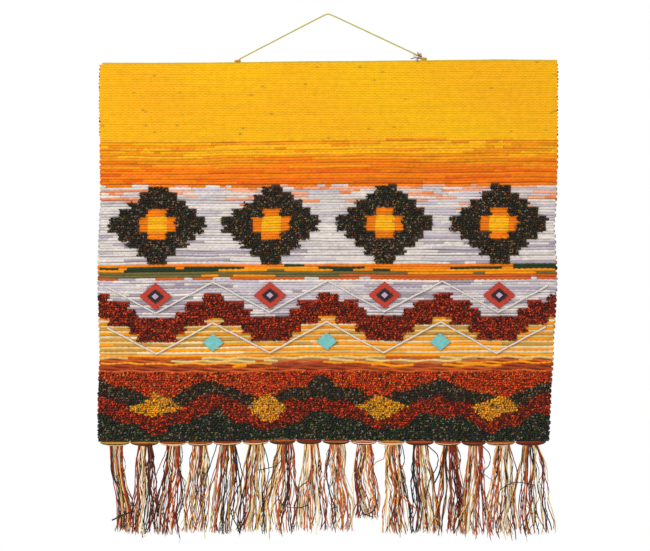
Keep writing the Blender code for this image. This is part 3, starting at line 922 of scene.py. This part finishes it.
def edge_stitches(outline, place, y_front, thread, chance):
    """Whipping stitches over a patch's edge."""
    closed = np.vstack([outline, outline[:1]])
    along = lengths_along(closed)
    runs = []
    for spot in np.arange(STITCH_SPACING / 2, along[-1], STITCH_SPACING):
        edge = np.array([np.interp(spot, along, closed[:, 0]), np.interp(spot, along, closed[:, 1])])
        inward = -edge / math.hypot(*edge)
        lean = np.array([-inward[1], inward[0]]) * 0.0006
        outer = edge - inward * 0.0007 - lean
        inner = edge + inward * chance.uniform(0.0013, 0.0019) + lean
        top = (outer + inner) / 2
        flat = np.array([outer, outer * 0.6 + top * 0.4, top, inner]) + place
        points = np.column_stack([flat[:, 0], y_front + np.array(STITCH_RISES), flat[:, 1]])
        runs.append((points, STITCH_RADIUS, dye(thread)))
    return runs


felt_chance = np.random.default_rng(8)
zigzag_down = HEADING_HEIGHT + (band_start("zigzag") + BAND_MIDDLE) * STEP_HEIGHT
repeats = STEP_COLUMNS // REPEAT
patch_places = []
for number in range(repeats):
    middle = (number + 0.5) / repeats
    patch_places += [(patch, number + 1, middle, zigzag_down - STACK_RISE) for patch in STACK]
for number in range(1, repeats):
    patch_places.append((SMALL_PATCH, number, number / repeats, zigzag_down + SMALL_PATCH_DROP))
felt_finishes = {patch.name: felt_finish(patch.name + "_felt", patch.dye) for patch in STACK + (SMALL_PATCH,)}
stitch_runs = []
for patch, number, patch_across, patch_down in patch_places:
    spot = [float(value) for value in cloth_place(patch_across, patch_down)]
    patch_outline = diamond_outline(patch.width, patch.height, felt_chance)
    back_y = ROWS_FRONT_Y - FELT_GAP - patch.layer * (FELT_THICK + FELT_GAP)
    points, faces = felt_shape(patch_outline, spot, back_y)
    felt = new_piece(f"{patch.name}_patch_{number}", points, faces, felt_finishes[patch.name], smooth=False)
    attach(felt, "root")
    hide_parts(f"{patch.name}_{number}")
    if patch.layer < 2:
        stitch_runs += edge_stitches(patch_outline, spot, back_y - FELT_THICK, patch.thread, felt_chance)
stitch_thread = yarn_finish("stitch_thread", 1.0, 1.0, 0.0008, 0.00008)
stitches = draw_yarns("felt_stitches", stitch_runs, stitch_thread, 5, 1.0)
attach(stitches, "root")


# Couched cords
# Two white cotton cords of two plies follow the zigzag, one above it and one below, each held by
# small thread stitches across it.
COUCHED_RADIUS = 0.0012
COUCHED_OFFSET = 0.0285
COUCHED_MARGIN = 0.012
COUCHED_TURN = 0.004
COUCHED_STITCH = 0.009
COUCHED_SPACING = 0.0012
COUCHED_LAY = 0.0052
COUCHING_RADIUS = 0.0003
# Points of a couching stitch, across the cord and to its front, in cord radii
COUCHING_ARCH = ((1.15, -0.6), (0.8, 0.75), (0.0, 1.1), (-0.8, 0.75), (-1.15, -0.6))


def points_at(points, spots):
    """The places on a line at some lengths along it."""
    along = lengths_along(points)
    return np.column_stack([np.interp(spots, along, values) for values in points.T])


def smooth_route(points, spacing):
    """Evenly spaced points on a smooth curve through a route's own points."""
    points = np.asarray(points, float)
    padded = np.vstack([2 * points[0] - points[1], points, 2 * points[-1] - points[-2]])
    fine = []
    for here in range(1, len(padded) - 2):
        before, start, end, after = padded[here - 1 : here + 3]
        for share in np.linspace(0, 1, 24, endpoint=False):
            line = 2 * start + (end - before) * share
            bend = (2 * before - 5 * start + 4 * end - after) * share**2
            turn = (3 * start - 3 * end + after - before) * share**3
            fine.append(0.5 * (line + bend + turn))
    fine = np.array(fine + [points[-1]])
    length = lengths_along(fine)[-1]
    return points_at(fine, np.linspace(0, length, max(2, int(length / spacing)) + 1))


def plied_cord(name, route, radius, plies, lay_length, dyes, material, sides=12):
    """A cord of twisted plies along a route: a tube whose surface rises over each ply, with painted shade in
    the grooves.
    """
    count = len(route)
    way = np.gradient(route, axis=0)
    way /= np.linalg.norm(way, axis=1, keepdims=True)
    front = np.tile((0.0, -1.0, 0.0), (count, 1))
    side = np.cross(way, front)
    side /= np.linalg.norm(side, axis=1, keepdims=True)
    front = np.cross(side, way)
    angle = np.arange(sides) * 2 * math.pi / sides
    phase = plies * (angle[None, :] - 2 * math.pi * lengths_along(route)[:, None] / lay_length)
    swell = radius * (0.90 + 0.12 * np.cos(phase))
    swell[[0, -1]] *= 0.85
    ring = side[:, None, :] * np.cos(angle)[None, :, None] + front[:, None, :] * np.sin(angle)[None, :, None]
    points = (route[:, None, :] + ring * swell[:, :, None]).reshape(-1, 3)
    turn = np.floor((phase + math.pi) / (2 * math.pi)).astype(int) % plies
    shades = np.array([dye(shade) for shade in dyes])
    # Each ply is drawn darker where it sinks beside the next: painted shade in the grooves between the plies
    colours = shades[turn % len(shades)] * (0.78 + 0.22 * (0.5 + 0.5 * np.cos(phase)))[:, :, None]
    net = np.arange(count * sides).reshape(count, sides)
    after = np.roll(net, -1, axis=1)
    faces = np.stack([net[:-1], net[1:], after[1:], after[:-1]], axis=-1).reshape(-1, 4).tolist()
    faces += [net[0].tolist(), net[-1][::-1].tolist()]
    return new_piece(name, points, faces, material, colours.reshape(-1, 3))


def zigzag_route(offset):
    """A couched cord's centre line along the zigzag, with a short bend at each turn."""
    half = REPEAT // 2
    turns = STEP_COLUMNS // half
    route = []
    margin = COUCHED_MARGIN * STEP_COLUMNS / CLOTH_WIDTH
    bend = COUCHED_TURN * STEP_COLUMNS / CLOTH_WIDTH
    for turn in range(turns + 1):
        places = [turn * half - bend, turn * half, turn * half + bend]
        if turn == 0:
            places = [margin]
        elif turn == turns:
            places = [STEP_COLUMNS - margin]
        for place in places:
            middle = band_start("zigzag") + BAND_MIDDLE + ZIGZAG_RISE * triangle_wave(place)
            x, z = cloth_place(place / STEP_COLUMNS, HEADING_HEIGHT + middle * STEP_HEIGHT + offset)
            route.append((float(x), ROWS_FRONT_Y - COUCHED_RADIUS, float(z)))
    corners = np.array(route)
    length = lengths_along(corners)[-1]
    line = points_at(corners, np.linspace(0, length, int(length / COUCHED_SPACING)))
    line[:, 2] += 0.0009 * drift(line[:, 0], line[:, 2], 38, 6.0)
    return line


cotton = yarn_finish("couched_cotton", 1.0, -1.0, 0.0011, 0.00008, rough=0.85)
couching_runs = []
for couched_name, side in (("couched_cord_upper", -1), ("couched_cord_lower", 1)):
    line = zigzag_route(side * COUCHED_OFFSET)
    couched = plied_cord(
        couched_name + "_plied", line, COUCHED_RADIUS, 2, COUCHED_LAY, ("white",), cotton, 10
    )
    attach(couched, "root")
    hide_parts(couched_name)
    for spot in range(6, len(line) - 6, int(COUCHED_STITCH / COUCHED_SPACING)):
        way = line[spot + 2] - line[spot - 2]
        across = np.array([-way[2], 0.0, way[0]]) / np.linalg.norm(way) * COUCHED_RADIUS
        front = np.array([0.0, -COUCHED_RADIUS, 0.0])
        points = np.array([line[spot] + across * reach + front * rise for reach, rise in COUCHING_ARCH])
        couching_runs.append((points, COUCHING_RADIUS, dye("white") * 0.85))
couching = draw_yarns("couching_stitches", couching_runs, stitch_thread, 5, 1.0)
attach(couching, "root")


# Tassels
# At the hem a bundle of left-over yarns in every colour is bowed across below each scallop. A tassel
# of thirty-five soft yarns is looped over its back. The ends hang in locks, waver, cross and fray,
# and a few yarns stray far from their tassels.
HEAD_YARNS = 7
HEAD_POINTS = 15
HEAD_MIDDLE = -0.00215
HEAD_HALF_HEIGHT = 0.00315
HEAD_END_DROP = 0.0006
HEAD_YARN_RADIUS = 0.00080
HEAD_BULGE = 0.0019
HEAD_FULLNESS = 0.48
HEAD_Y = -0.0003
ROOT_WIDTH = 0.0190
ROOT_DOWN = 0.0018
ROOT_SPREAD = 0.16
STRANDS = 35
THIN_EVERY = 4
LOCKS = 5
LOCK_SWAY = 0.0022
GATHER = 0.62
LOCK_DYE_SHARE = 0.35
STRAND_POINTS = 24
LAYERS_Y = (-0.0034, -0.0015, 0.0002)
SWAY = 0.0022
SWAY_WAVES = 1.15
SWAY_SHIFT = 700
TIP_RISE = 0.0018
TIP_SCATTER = 0.0052
ODD_LENGTH_SHARE = 0.14
CURL_FROM = 0.84
HEAD_DYES = (
    {"umber": 0.3, "charcoal": 0.2, "maroon": 0.15, "ochre": 0.2, "rust": 0.15},
    {"burnt orange": 0.25, "rust": 0.3, "ochre": 0.2, "brick": 0.15, "salmon": 0.1},
    {"cream": 0.3, "umber": 0.25, "maroon": 0.15, "charcoal": 0.15, "ochre": 0.15},
)
STRAND_DYES = {
    "burnt orange": 0.14,
    "copper": 0.13,
    "rust": 0.17,
    "brick": 0.10,
    "bottle": 0.04,
    "cream": 0.18,
    "straw": 0.10,
    "ochre": 0.08,
    "umber": 0.04,
    "maroon": 0.03,
}
THIN_DYES = {"charcoal": 0.35, "bottle": 0.25, "umber": 0.15, "mauve": 0.08, "brick": 0.10, "cream": 0.07}
Strand = namedtuple("Strand", "radius stray kink curl dyes")
THICK = Strand(0.00080, 0.18, 0.0012, 0.0018, STRAND_DYES)
THIN = Strand(0.00054, 0.26, 0.0019, 0.0028, THIN_DYES)
Lock = namedtuple("Lock", "amount waves shift dye")

# Yarns that stray: dye, radius, and the places that each passes, in millimetres
Stray = namedtuple("Stray", "dye radius route")
STRAYS = (
    Stray("charcoal", 1.1, ((-302, -708), (-290, -702), (-277, -697))),
    Stray("bottle", 0.6, ((-273, -718), (-264, -702), (-261, -688))),
    Stray("umber", 0.7, ((-250, -600), (-243, -617), (-246, -641), (-248, -662), (-244, -688))),
    Stray("rust", 0.7, ((-225, -602), (-227, -614), (-235, -632), (-243, -656), (-240, -682))),
    Stray(
        "maroon",
        0.7,
        ((-204, -602), (-204, -624), (-211, -645), (-210, -678), (-213, -701), (-207, -733)),
    ),
    Stray("umber", 0.6, ((-172, -602), (-166, -628), (-175, -652), (-185, -674))),
    Stray("mauve", 0.6, ((-186, -656), (-178, -669), (-165, -683))),
    Stray("bottle", 0.7, ((-155, -602), (-166, -636), (-173, -662), (-173, -694), (-170, -718))),
    Stray(
        "bottle",
        0.8,
        ((-130, -602), (-121, -638), (-122, -654), (-136, -690), (-126, -718), (-124, -726)),
    ),
    Stray("charcoal", 0.7, ((-92, -600), (-84, -625), (-84, -649), (-91, -674), (-89, -725))),
    Stray("umber", 0.6, ((-100, -638), (-87, -636), (-71, -631), (-66, -624))),
    Stray("charcoal", 0.6, ((-73, -655), (-72, -668), (-65, -685), (-55, -690), (-37, -690), (-29, -686))),
    Stray("maroon", 0.7, ((-25, -638), (-28, -653), (-39, -662), (-46, -688), (-48, -720))),
    Stray("ochre", 0.7, ((80, -602), (78, -621), (66, -628), (60, -646), (67, -687))),
    Stray("bottle", 0.7, ((103, -602), (107, -625), (101, -643), (107, -667), (114, -685), (115, -710))),
    Stray("burnt orange", 0.8, ((90, -657), (109, -680), (126, -694))),
    Stray("umber", 0.8, ((137, -602), (152, -616), (153, -631), (142, -653), (136, -678))),
    Stray("bottle", 1.1, ((158, -632), (154, -645), (149, -656))),
    Stray("maroon", 0.6, ((174, -602), (185, -617), (184, -631), (178, -654), (188, -687))),
    Stray("straw", 0.7, ((204, -666), (200, -674), (182, -708))),
    Stray("umber", 0.7, ((214, -602), (226, -616), (225, -631), (216, -643), (216, -671), (220, -703))),
    Stray("mauve", 0.6, ((214, -640), (224, -648), (232, -654))),
    Stray("rust", 0.8, ((253, -602), (265, -646), (259, -676), (261, -702), (251, -726))),
    Stray("bottle", 0.6, ((240, -666), (252, -658), (265, -655), (289, -659))),
    Stray("charcoal", 0.7, ((272, -602), (270, -646), (272, -702), (277, -731))),
    Stray("brick", 0.7, ((287, -676), (279, -700), (268, -719))),
    Stray("ochre", 0.7, ((275, -683), (286, -698), (297, -708))),
    Stray("charcoal", 0.8, ((66, -672), (67, -686), (61, -697), (49, -701))),
    Stray("bottle", 0.7, ((44, -684), (46, -694), (52, -700), (62, -703))),
)


def pick(shares, chance):
    """One dye, picked by its share."""
    names = list(shares)
    weights = np.array(list(shares.values()))
    return dye(chance.choice(names, p=weights / weights.sum()))


def head_core(start, end):
    """The filling that the bowed yarns of one scallop lie on."""
    share = np.linspace(0, 1, HEAD_POINTS)
    bow = np.sin(math.pi * share) ** HEAD_FULLNESS
    x = start + 0.0005 + (end - start - 0.0010) * share
    z = hem_level(x) - HEAD_END_DROP * (1 - bow) + HEAD_MIDDLE * bow
    places = np.column_stack([x, np.full(len(x), HEAD_Y), z])
    return places, 0.0003 + (HEAD_HALF_HEIGHT - 0.0004) * bow, dye("umber")


def head_runs(start, end, chance):
    """The bowed yarns across one scallop, from its top round its front to its bottom."""
    share = np.linspace(0, 1, HEAD_POINTS)
    bow = np.sin(math.pi * share) ** HEAD_FULLNESS
    x = start + 0.0003 + (end - start - 0.0006) * share
    runs = []
    for number in range(HEAD_YARNS):
        order = number / (HEAD_YARNS - 1)
        height = HEAD_MIDDLE + HEAD_HALF_HEIGHT * math.cos(math.pi * order)
        z = hem_level(x) - HEAD_END_DROP * (1 - bow) + (height + chance.normal(0, 0.00012, len(x))) * bow
        y = HEAD_Y - HEAD_BULGE * math.sin(math.pi * order) * bow - 0.0002
        width = HEAD_YARN_RADIUS * (0.6 + 0.45 * bow) * chance.uniform(0.85, 1.15)
        colour = pick(HEAD_DYES[min(int(order * 3), 2)], chance) * chance.uniform(0.8, 1.1)
        runs.append((np.column_stack([x, y, z]), width, colour))
    return runs


def frayed_tip(x, y, z, colour, chance):
    """Two fine fibres that part from the end of a yarn."""
    along = np.linspace(0, 1, 4)
    hairs = []
    for _ in range(2):
        spread = chance.normal(0, 0.0020)
        reach = chance.uniform(0.003, 0.008)
        hair = np.column_stack([x + spread * along**1.5, y - 0.0005 * along, z - reach * along])
        hairs.append((hair, 0.00028 * (1.2 - along), colour))
    return hairs


def strand_runs(tassel, middle, chance):
    """The hanging yarns of one tassel and the fibres at their tips."""
    runs, hairs = [], []
    along = np.linspace(0, 1, STRAND_POINTS)
    level = float(hem_level(middle))
    ease = along * along * (3 - 2 * along)
    fan = 1 - (1 - along) ** 4
    common = SWAY * np.sin(2 * math.pi * SWAY_WAVES * along + tassel.length * SWAY_SHIFT) * along
    width_here = ROOT_WIDTH + (tassel.spread - ROOT_WIDTH) * fan
    gather = GATHER * np.sin(math.pi * along**0.8) ** 0.7
    locks = [
        Lock(
            chance.normal(0, LOCK_SWAY), chance.uniform(0.8, 1.7), chance.random(), pick(STRAND_DYES, chance)
        )
        for _ in range(LOCKS)
    ]
    for number in range(STRANDS):
        strand = THIN if number % THIN_EVERY == 2 else THICK
        place = (number + 0.5) / STRANDS - 0.5
        end = np.clip(place + chance.normal(0, strand.stray), -0.64, 0.64)
        lean = tassel.tip - tassel.root + (end - place) * tassel.spread
        which = int(np.clip((place + 0.5) * LOCKS + chance.normal(0, 0.35), 0, LOCKS - 1))
        lock = locks[which]
        from_lock = place - (which + 0.5) / LOCKS + 0.5
        x = middle + tassel.root + (place - from_lock * gather) * width_here + lean * ease + common
        x = x + lock.amount * np.sin(2 * math.pi * (lock.waves * along + lock.shift)) * np.sqrt(along)
        turns = chance.uniform(1.3, 3.6) * along + chance.random()
        x = x + chance.normal(0, strand.kink) * np.sin(2 * math.pi * turns) * np.clip(along * 6, 0, 1)
        x = x + chance.normal(0, 0.00022, len(along)) * np.clip(along * 4, 0, 1)
        x = x + chance.normal(0, strand.curl) * np.clip((along - CURL_FROM) / (1 - CURL_FROM), 0, 1) ** 1.6
        length = tassel.length - TIP_RISE - abs(chance.normal(0, TIP_SCATTER))
        if chance.random() < ODD_LENGTH_SHARE:
            length += chance.choice((0.4, -1.0)) * chance.uniform(0.006, 0.022)
        z = level - ROOT_DOWN - (length - ROOT_DOWN) * along
        out = np.clip(along / ROOT_SPREAD, 0, 1)
        y = HEAD_Y * (1 - out) + (LAYERS_Y[number % 3] + chance.normal(0, 0.0003)) * out
        y = y + 0.0005 * np.sin(2 * math.pi * (along * 1.5 + chance.random())) * out
        y = np.clip(y, -0.0050, 0.0011)
        width = strand.radius * chance.uniform(0.85, 1.15)
        width = width * (1 + 0.08 * np.sin(along * 50 + number))
        width[-1] *= 0.55
        colour = lock.dye
        if strand is THIN or chance.random() > LOCK_DYE_SHARE:
            colour = pick(strand.dyes, chance)
        colour = colour * chance.uniform(0.82, 1.28)
        colour = colour * (1 - 0.06 * along + chance.normal(0, 0.05, len(along)))[:, None]
        runs.append((np.column_stack([x, y, z]), width, colour))
        if strand is THICK:
            hairs += frayed_tip(x[-2], y[-2], z[-2], colour[-1], chance)
    return runs, hairs


tassel_wool = yarn_finish("tassel_wool", 0.7, 1.0, 0.0024, 0.00022, fluff=0.5)
tassel_chance = np.random.default_rng(16)
cores, hairs = [], []
for number, tassel in enumerate(TASSELS):
    start, end = SCALLOP_EDGES[number], SCALLOP_EDGES[number + 1]
    strands, tips = strand_runs(tassel, (start + end) / 2, tassel_chance)
    hanging = draw_yarns(
        f"tassel_yarns_{number + 1:02d}", strands + head_runs(start, end, tassel_chance), tassel_wool, 5, 1.0
    )
    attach(hanging, "root")
    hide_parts(f"tassel_{number + 1:02d}")
    cores.append(head_core(start, end))
    hairs += tips
strays = []
for number, stray in enumerate(STRAYS):
    route = [(x / 1000, LAYERS_Y[0] - 0.0011 + 0.0002 * (number % 3), z / 1000) for x, z in stray.route]
    points = smooth_route(route, 0.004)
    points[1:-1, 0] += tassel_chance.normal(0, 0.0003, len(points) - 2)
    strays.append((points, stray.radius / 1000, dye(stray.dye)))
    hairs += frayed_tip(*points[-1], dye(stray.dye), tassel_chance)
for name, runs, sides, depth in (
    ("tassel_head_fillings", cores, 8, 0.54),
    ("tassel_strays", strays, 5, 1.0),
    ("tassel_frayed_tips", hairs, 3, 1.0),
):
    extra = draw_yarns(name, runs, tassel_wool, sides, depth)
    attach(extra, "root")


# Hanging cord
# A thin two-coloured twisted cord goes from one knot over the nail to the other. The cloth's
# weight pulls it straight, so it bends only at the nail.
CORD_RADIUS = 0.0011
CORD_LAY = 0.0042
NAIL_BEND = 0.0027
Knot = namedtuple("Knot", "name place size cord_meets")
KNOTS = (
    Knot("knot_left", (-0.1265, 0.0, -0.0641), (0.0100, 0.0042, 0.0048), (0.0046, 0.0, 0.0022)),
    Knot("knot_right", (0.1340, 0.0, -0.0617), (0.0100, 0.0042, 0.0050), (-0.0048, 0.0, 0.0022)),
)


def cord_route():
    """The cord's centre line: two straight falls and a close bend over the nail."""
    left, right = (np.add(knot.place, knot.cord_meets) for knot in KNOTS)
    bend = np.linspace(-0.006, 0.006, 40)
    x = np.concatenate([np.linspace(left[0], bend[0], 200), bend[1:-1], np.linspace(bend[-1], right[0], 200)])
    fall = np.sqrt(x * x + NAIL_BEND**2) - NAIL_BEND
    slopes = [-foot[2] / (math.sqrt(foot[0] ** 2 + NAIL_BEND**2) - NAIL_BEND) for foot in (left, right)]
    z = -fall * np.where(x < 0, slopes[0], slopes[1])
    return np.column_stack([x, np.zeros(len(x)), z])


cord_line = cord_route()
cord_twine = yarn_finish("cord_twine", 1.0, 1.0, 0.0012, 0.00006, rough=0.8)
hanging_cord = plied_cord(
    "hanging_cord_plied", cord_line, CORD_RADIUS, 2, CORD_LAY, ("cord yellow", "cord grey"), cord_twine
)
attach(hanging_cord, "root")
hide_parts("hanging_cord")


# Knots
# At each end the cord is wound round the cloth's top edge and itself, and pulled into a small round
# lump. The left one is neat. Out of the right one the cord's cut ends stick, frayed.
KNOT_YARN = 0.00095
KNOT_FIBRES = 7
FIBRE_RADIUS = 0.00034
FIBRE_ASTRAY = 0.0013
FRAY_DYES = {"thread grey": 0.55, "salmon": 0.25, "umber": 0.2}
Winding = namedtuple("Winding", "knot turns sink dye")
WINDINGS = (Winding(KNOTS[0], 4, 0.0022, "knot gold"), Winding(KNOTS[1], 4, 0.0014, "knot olive"))
FrayedEnd = namedtuple("FrayedEnd", "start middle tip")
FRAYED_ENDS = (
    FrayedEnd((-0.0030, 0.0, -0.0006), (-0.0085, -0.0014, 0.0002), (-0.0145, -0.0008, 0.0006)),
    FrayedEnd((-0.0028, 0.0, 0.0010), (-0.0054, -0.0010, 0.0034), (-0.0088, -0.0004, 0.0064)),
    FrayedEnd((-0.0022, 0.0, 0.0012), (-0.0034, -0.0012, 0.0034), (-0.0046, -0.0006, 0.0056)),
    FrayedEnd((-0.0030, 0.0, 0.0002), (-0.0075, -0.0024, -0.0008), (-0.0108, -0.0030, -0.0034)),
)


def wound_run(winding):
    """The cord wound round the cloth's edge, turn beside turn, fullest at the middle."""
    size = np.array(winding.knot.size) / 2 - KNOT_YARN
    share = np.linspace(-1, 1, 16 * winding.turns)
    angle = math.pi * winding.turns * share
    swell = 1.25 - 0.70 * share**2
    y = size[1] * swell * np.sin(angle)
    z = size[2] * swell * np.cos(angle)
    return np.column_stack([size[0] * share, y, z]) + winding.knot.place - np.array([0, 0, winding.sink])


def knot_core(winding):
    """The cord's end inside the turns, which closes the lump at both sides."""
    share = np.linspace(-1, 1, 7)
    reach = winding.knot.size[0] / 2 - 0.0006
    places = np.column_stack([reach * share, np.zeros(7), np.full(7, -winding.sink)]) + winding.knot.place
    return places, 0.0016 * (1 - 0.45 * share**2)


knot_chance = np.random.default_rng(3)
knot_runs = {}
for winding in WINDINGS:
    knot = winding.knot
    tint = dye(winding.dye)
    lead = smooth_route(np.add([knot.cord_meets, (0, 0, -winding.sink)], knot.place), 0.0012)
    core, core_width = knot_core(winding)
    knot_runs[knot.name] = [
        (wound_run(winding), KNOT_YARN, tint),
        (lead, KNOT_YARN, tint),
        # The core is the cord's own colour at 0.7: painted shade inside the lump
        (core, core_width, tint * 0.7),
    ]
for frayed in FRAYED_ENDS:
    route = smooth_route([frayed.start, frayed.middle, frayed.tip], 0.0008) + np.array(KNOTS[1].place)
    share = np.linspace(0, 1, len(route))
    for _ in range(KNOT_FIBRES):
        curl = 0.0005 * np.sin(2 * math.pi * (1.6 * share + knot_chance.random())) * share
        stray = route + knot_chance.normal(0, FIBRE_ASTRAY, 3) * share[:, None] * (1, 0.5, 1)
        stray = stray + curl[:, None] * (1, 0, 1)
        stray[:, 1] = np.clip(stray[:, 1], -0.004, 0.0014)
        tint = pick(FRAY_DYES, knot_chance) * knot_chance.uniform(0.7, 1.3)
        knot_runs["knot_right"].append((stray, FIBRE_RADIUS, tint))
for knot in KNOTS:
    lump = draw_yarns(knot.name + "_tied", knot_runs[knot.name], cord_twine, 8, 1.0)
    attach(lump, "root")
    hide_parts(knot.name)


# Studio
# A pale floor well below the tassels, a white room that lights evenly from all round, and a soft
# lamp from the upper left that brings out the yarns. The camera stands straight in front.
FLOOR_Z = -1.05
FLOOR_SIZE = 2.8
FRAME_WIDTH = 0.910
CAMERA_DISTANCE = 2.40
CAMERA_X = -0.0042
CAMERA_HEIGHT = -0.3660
ROOM_LIGHT = 0.60
LAMP_PLACE = Vector((-2.4, -3.0, 2.1))
LAMP_AIM = Vector((0.0, 0.0, -0.35))
LAMP_SIZE = 1.7
LAMP_POWER = 118.0

bpy.ops.mesh.primitive_plane_add(size=FLOOR_SIZE, location=(0.0, 0.0, FLOOR_Z))
floor = bpy.context.object
floor.name = "studio_floor"
floor_paint = bpy.data.materials.new("floor_paint")
floor_paint.use_nodes = True
floor_shader = floor_paint.node_tree.nodes["Principled BSDF"]
floor_shader.inputs["Base Color"].default_value = (0.82, 0.82, 0.81, 1.0)
floor_shader.inputs["Roughness"].default_value = 0.7
floor.data.materials.append(floor_paint)

world = bpy.data.worlds.new("soft_white")
world.use_nodes = True
room = world.node_tree.nodes["Background"]
room.inputs["Color"].default_value = (1.0, 1.0, 1.0, 1.0)
seen = node(world.node_tree, "ShaderNodeLightPath").outputs["Is Camera Ray"]
strength = maths(world.node_tree, "MULTIPLY_ADD", seen, 1.0 - ROOM_LIGHT, ROOM_LIGHT)
feed(world.node_tree, room.inputs["Strength"], strength)
bpy.context.scene.world = world
bpy.context.scene.view_settings.view_transform = "Standard"

lamp_data = bpy.data.lights.new("upper_left_lamp", "AREA")
lamp_data.energy = LAMP_POWER
lamp_data.size = LAMP_SIZE
lamp = bpy.data.objects.new("upper_left_lamp", lamp_data)
lamp.location = LAMP_PLACE
lamp.rotation_euler = (LAMP_AIM - LAMP_PLACE).to_track_quat("-Z", "Y").to_euler()
bpy.context.scene.collection.objects.link(lamp)

camera_data = bpy.data.cameras.new("front_camera")
camera_data.sensor_width = 36.0
camera_data.lens = camera_data.sensor_width * CAMERA_DISTANCE / FRAME_WIDTH
camera = bpy.data.objects.new("front_camera", camera_data)
camera.location = (CAMERA_X, -CAMERA_DISTANCE, CAMERA_HEIGHT)
camera.rotation_euler = (math.radians(90), 0.0, 0.0)
bpy.context.scene.collection.objects.link(camera)
bpy.context.scene.camera = camera
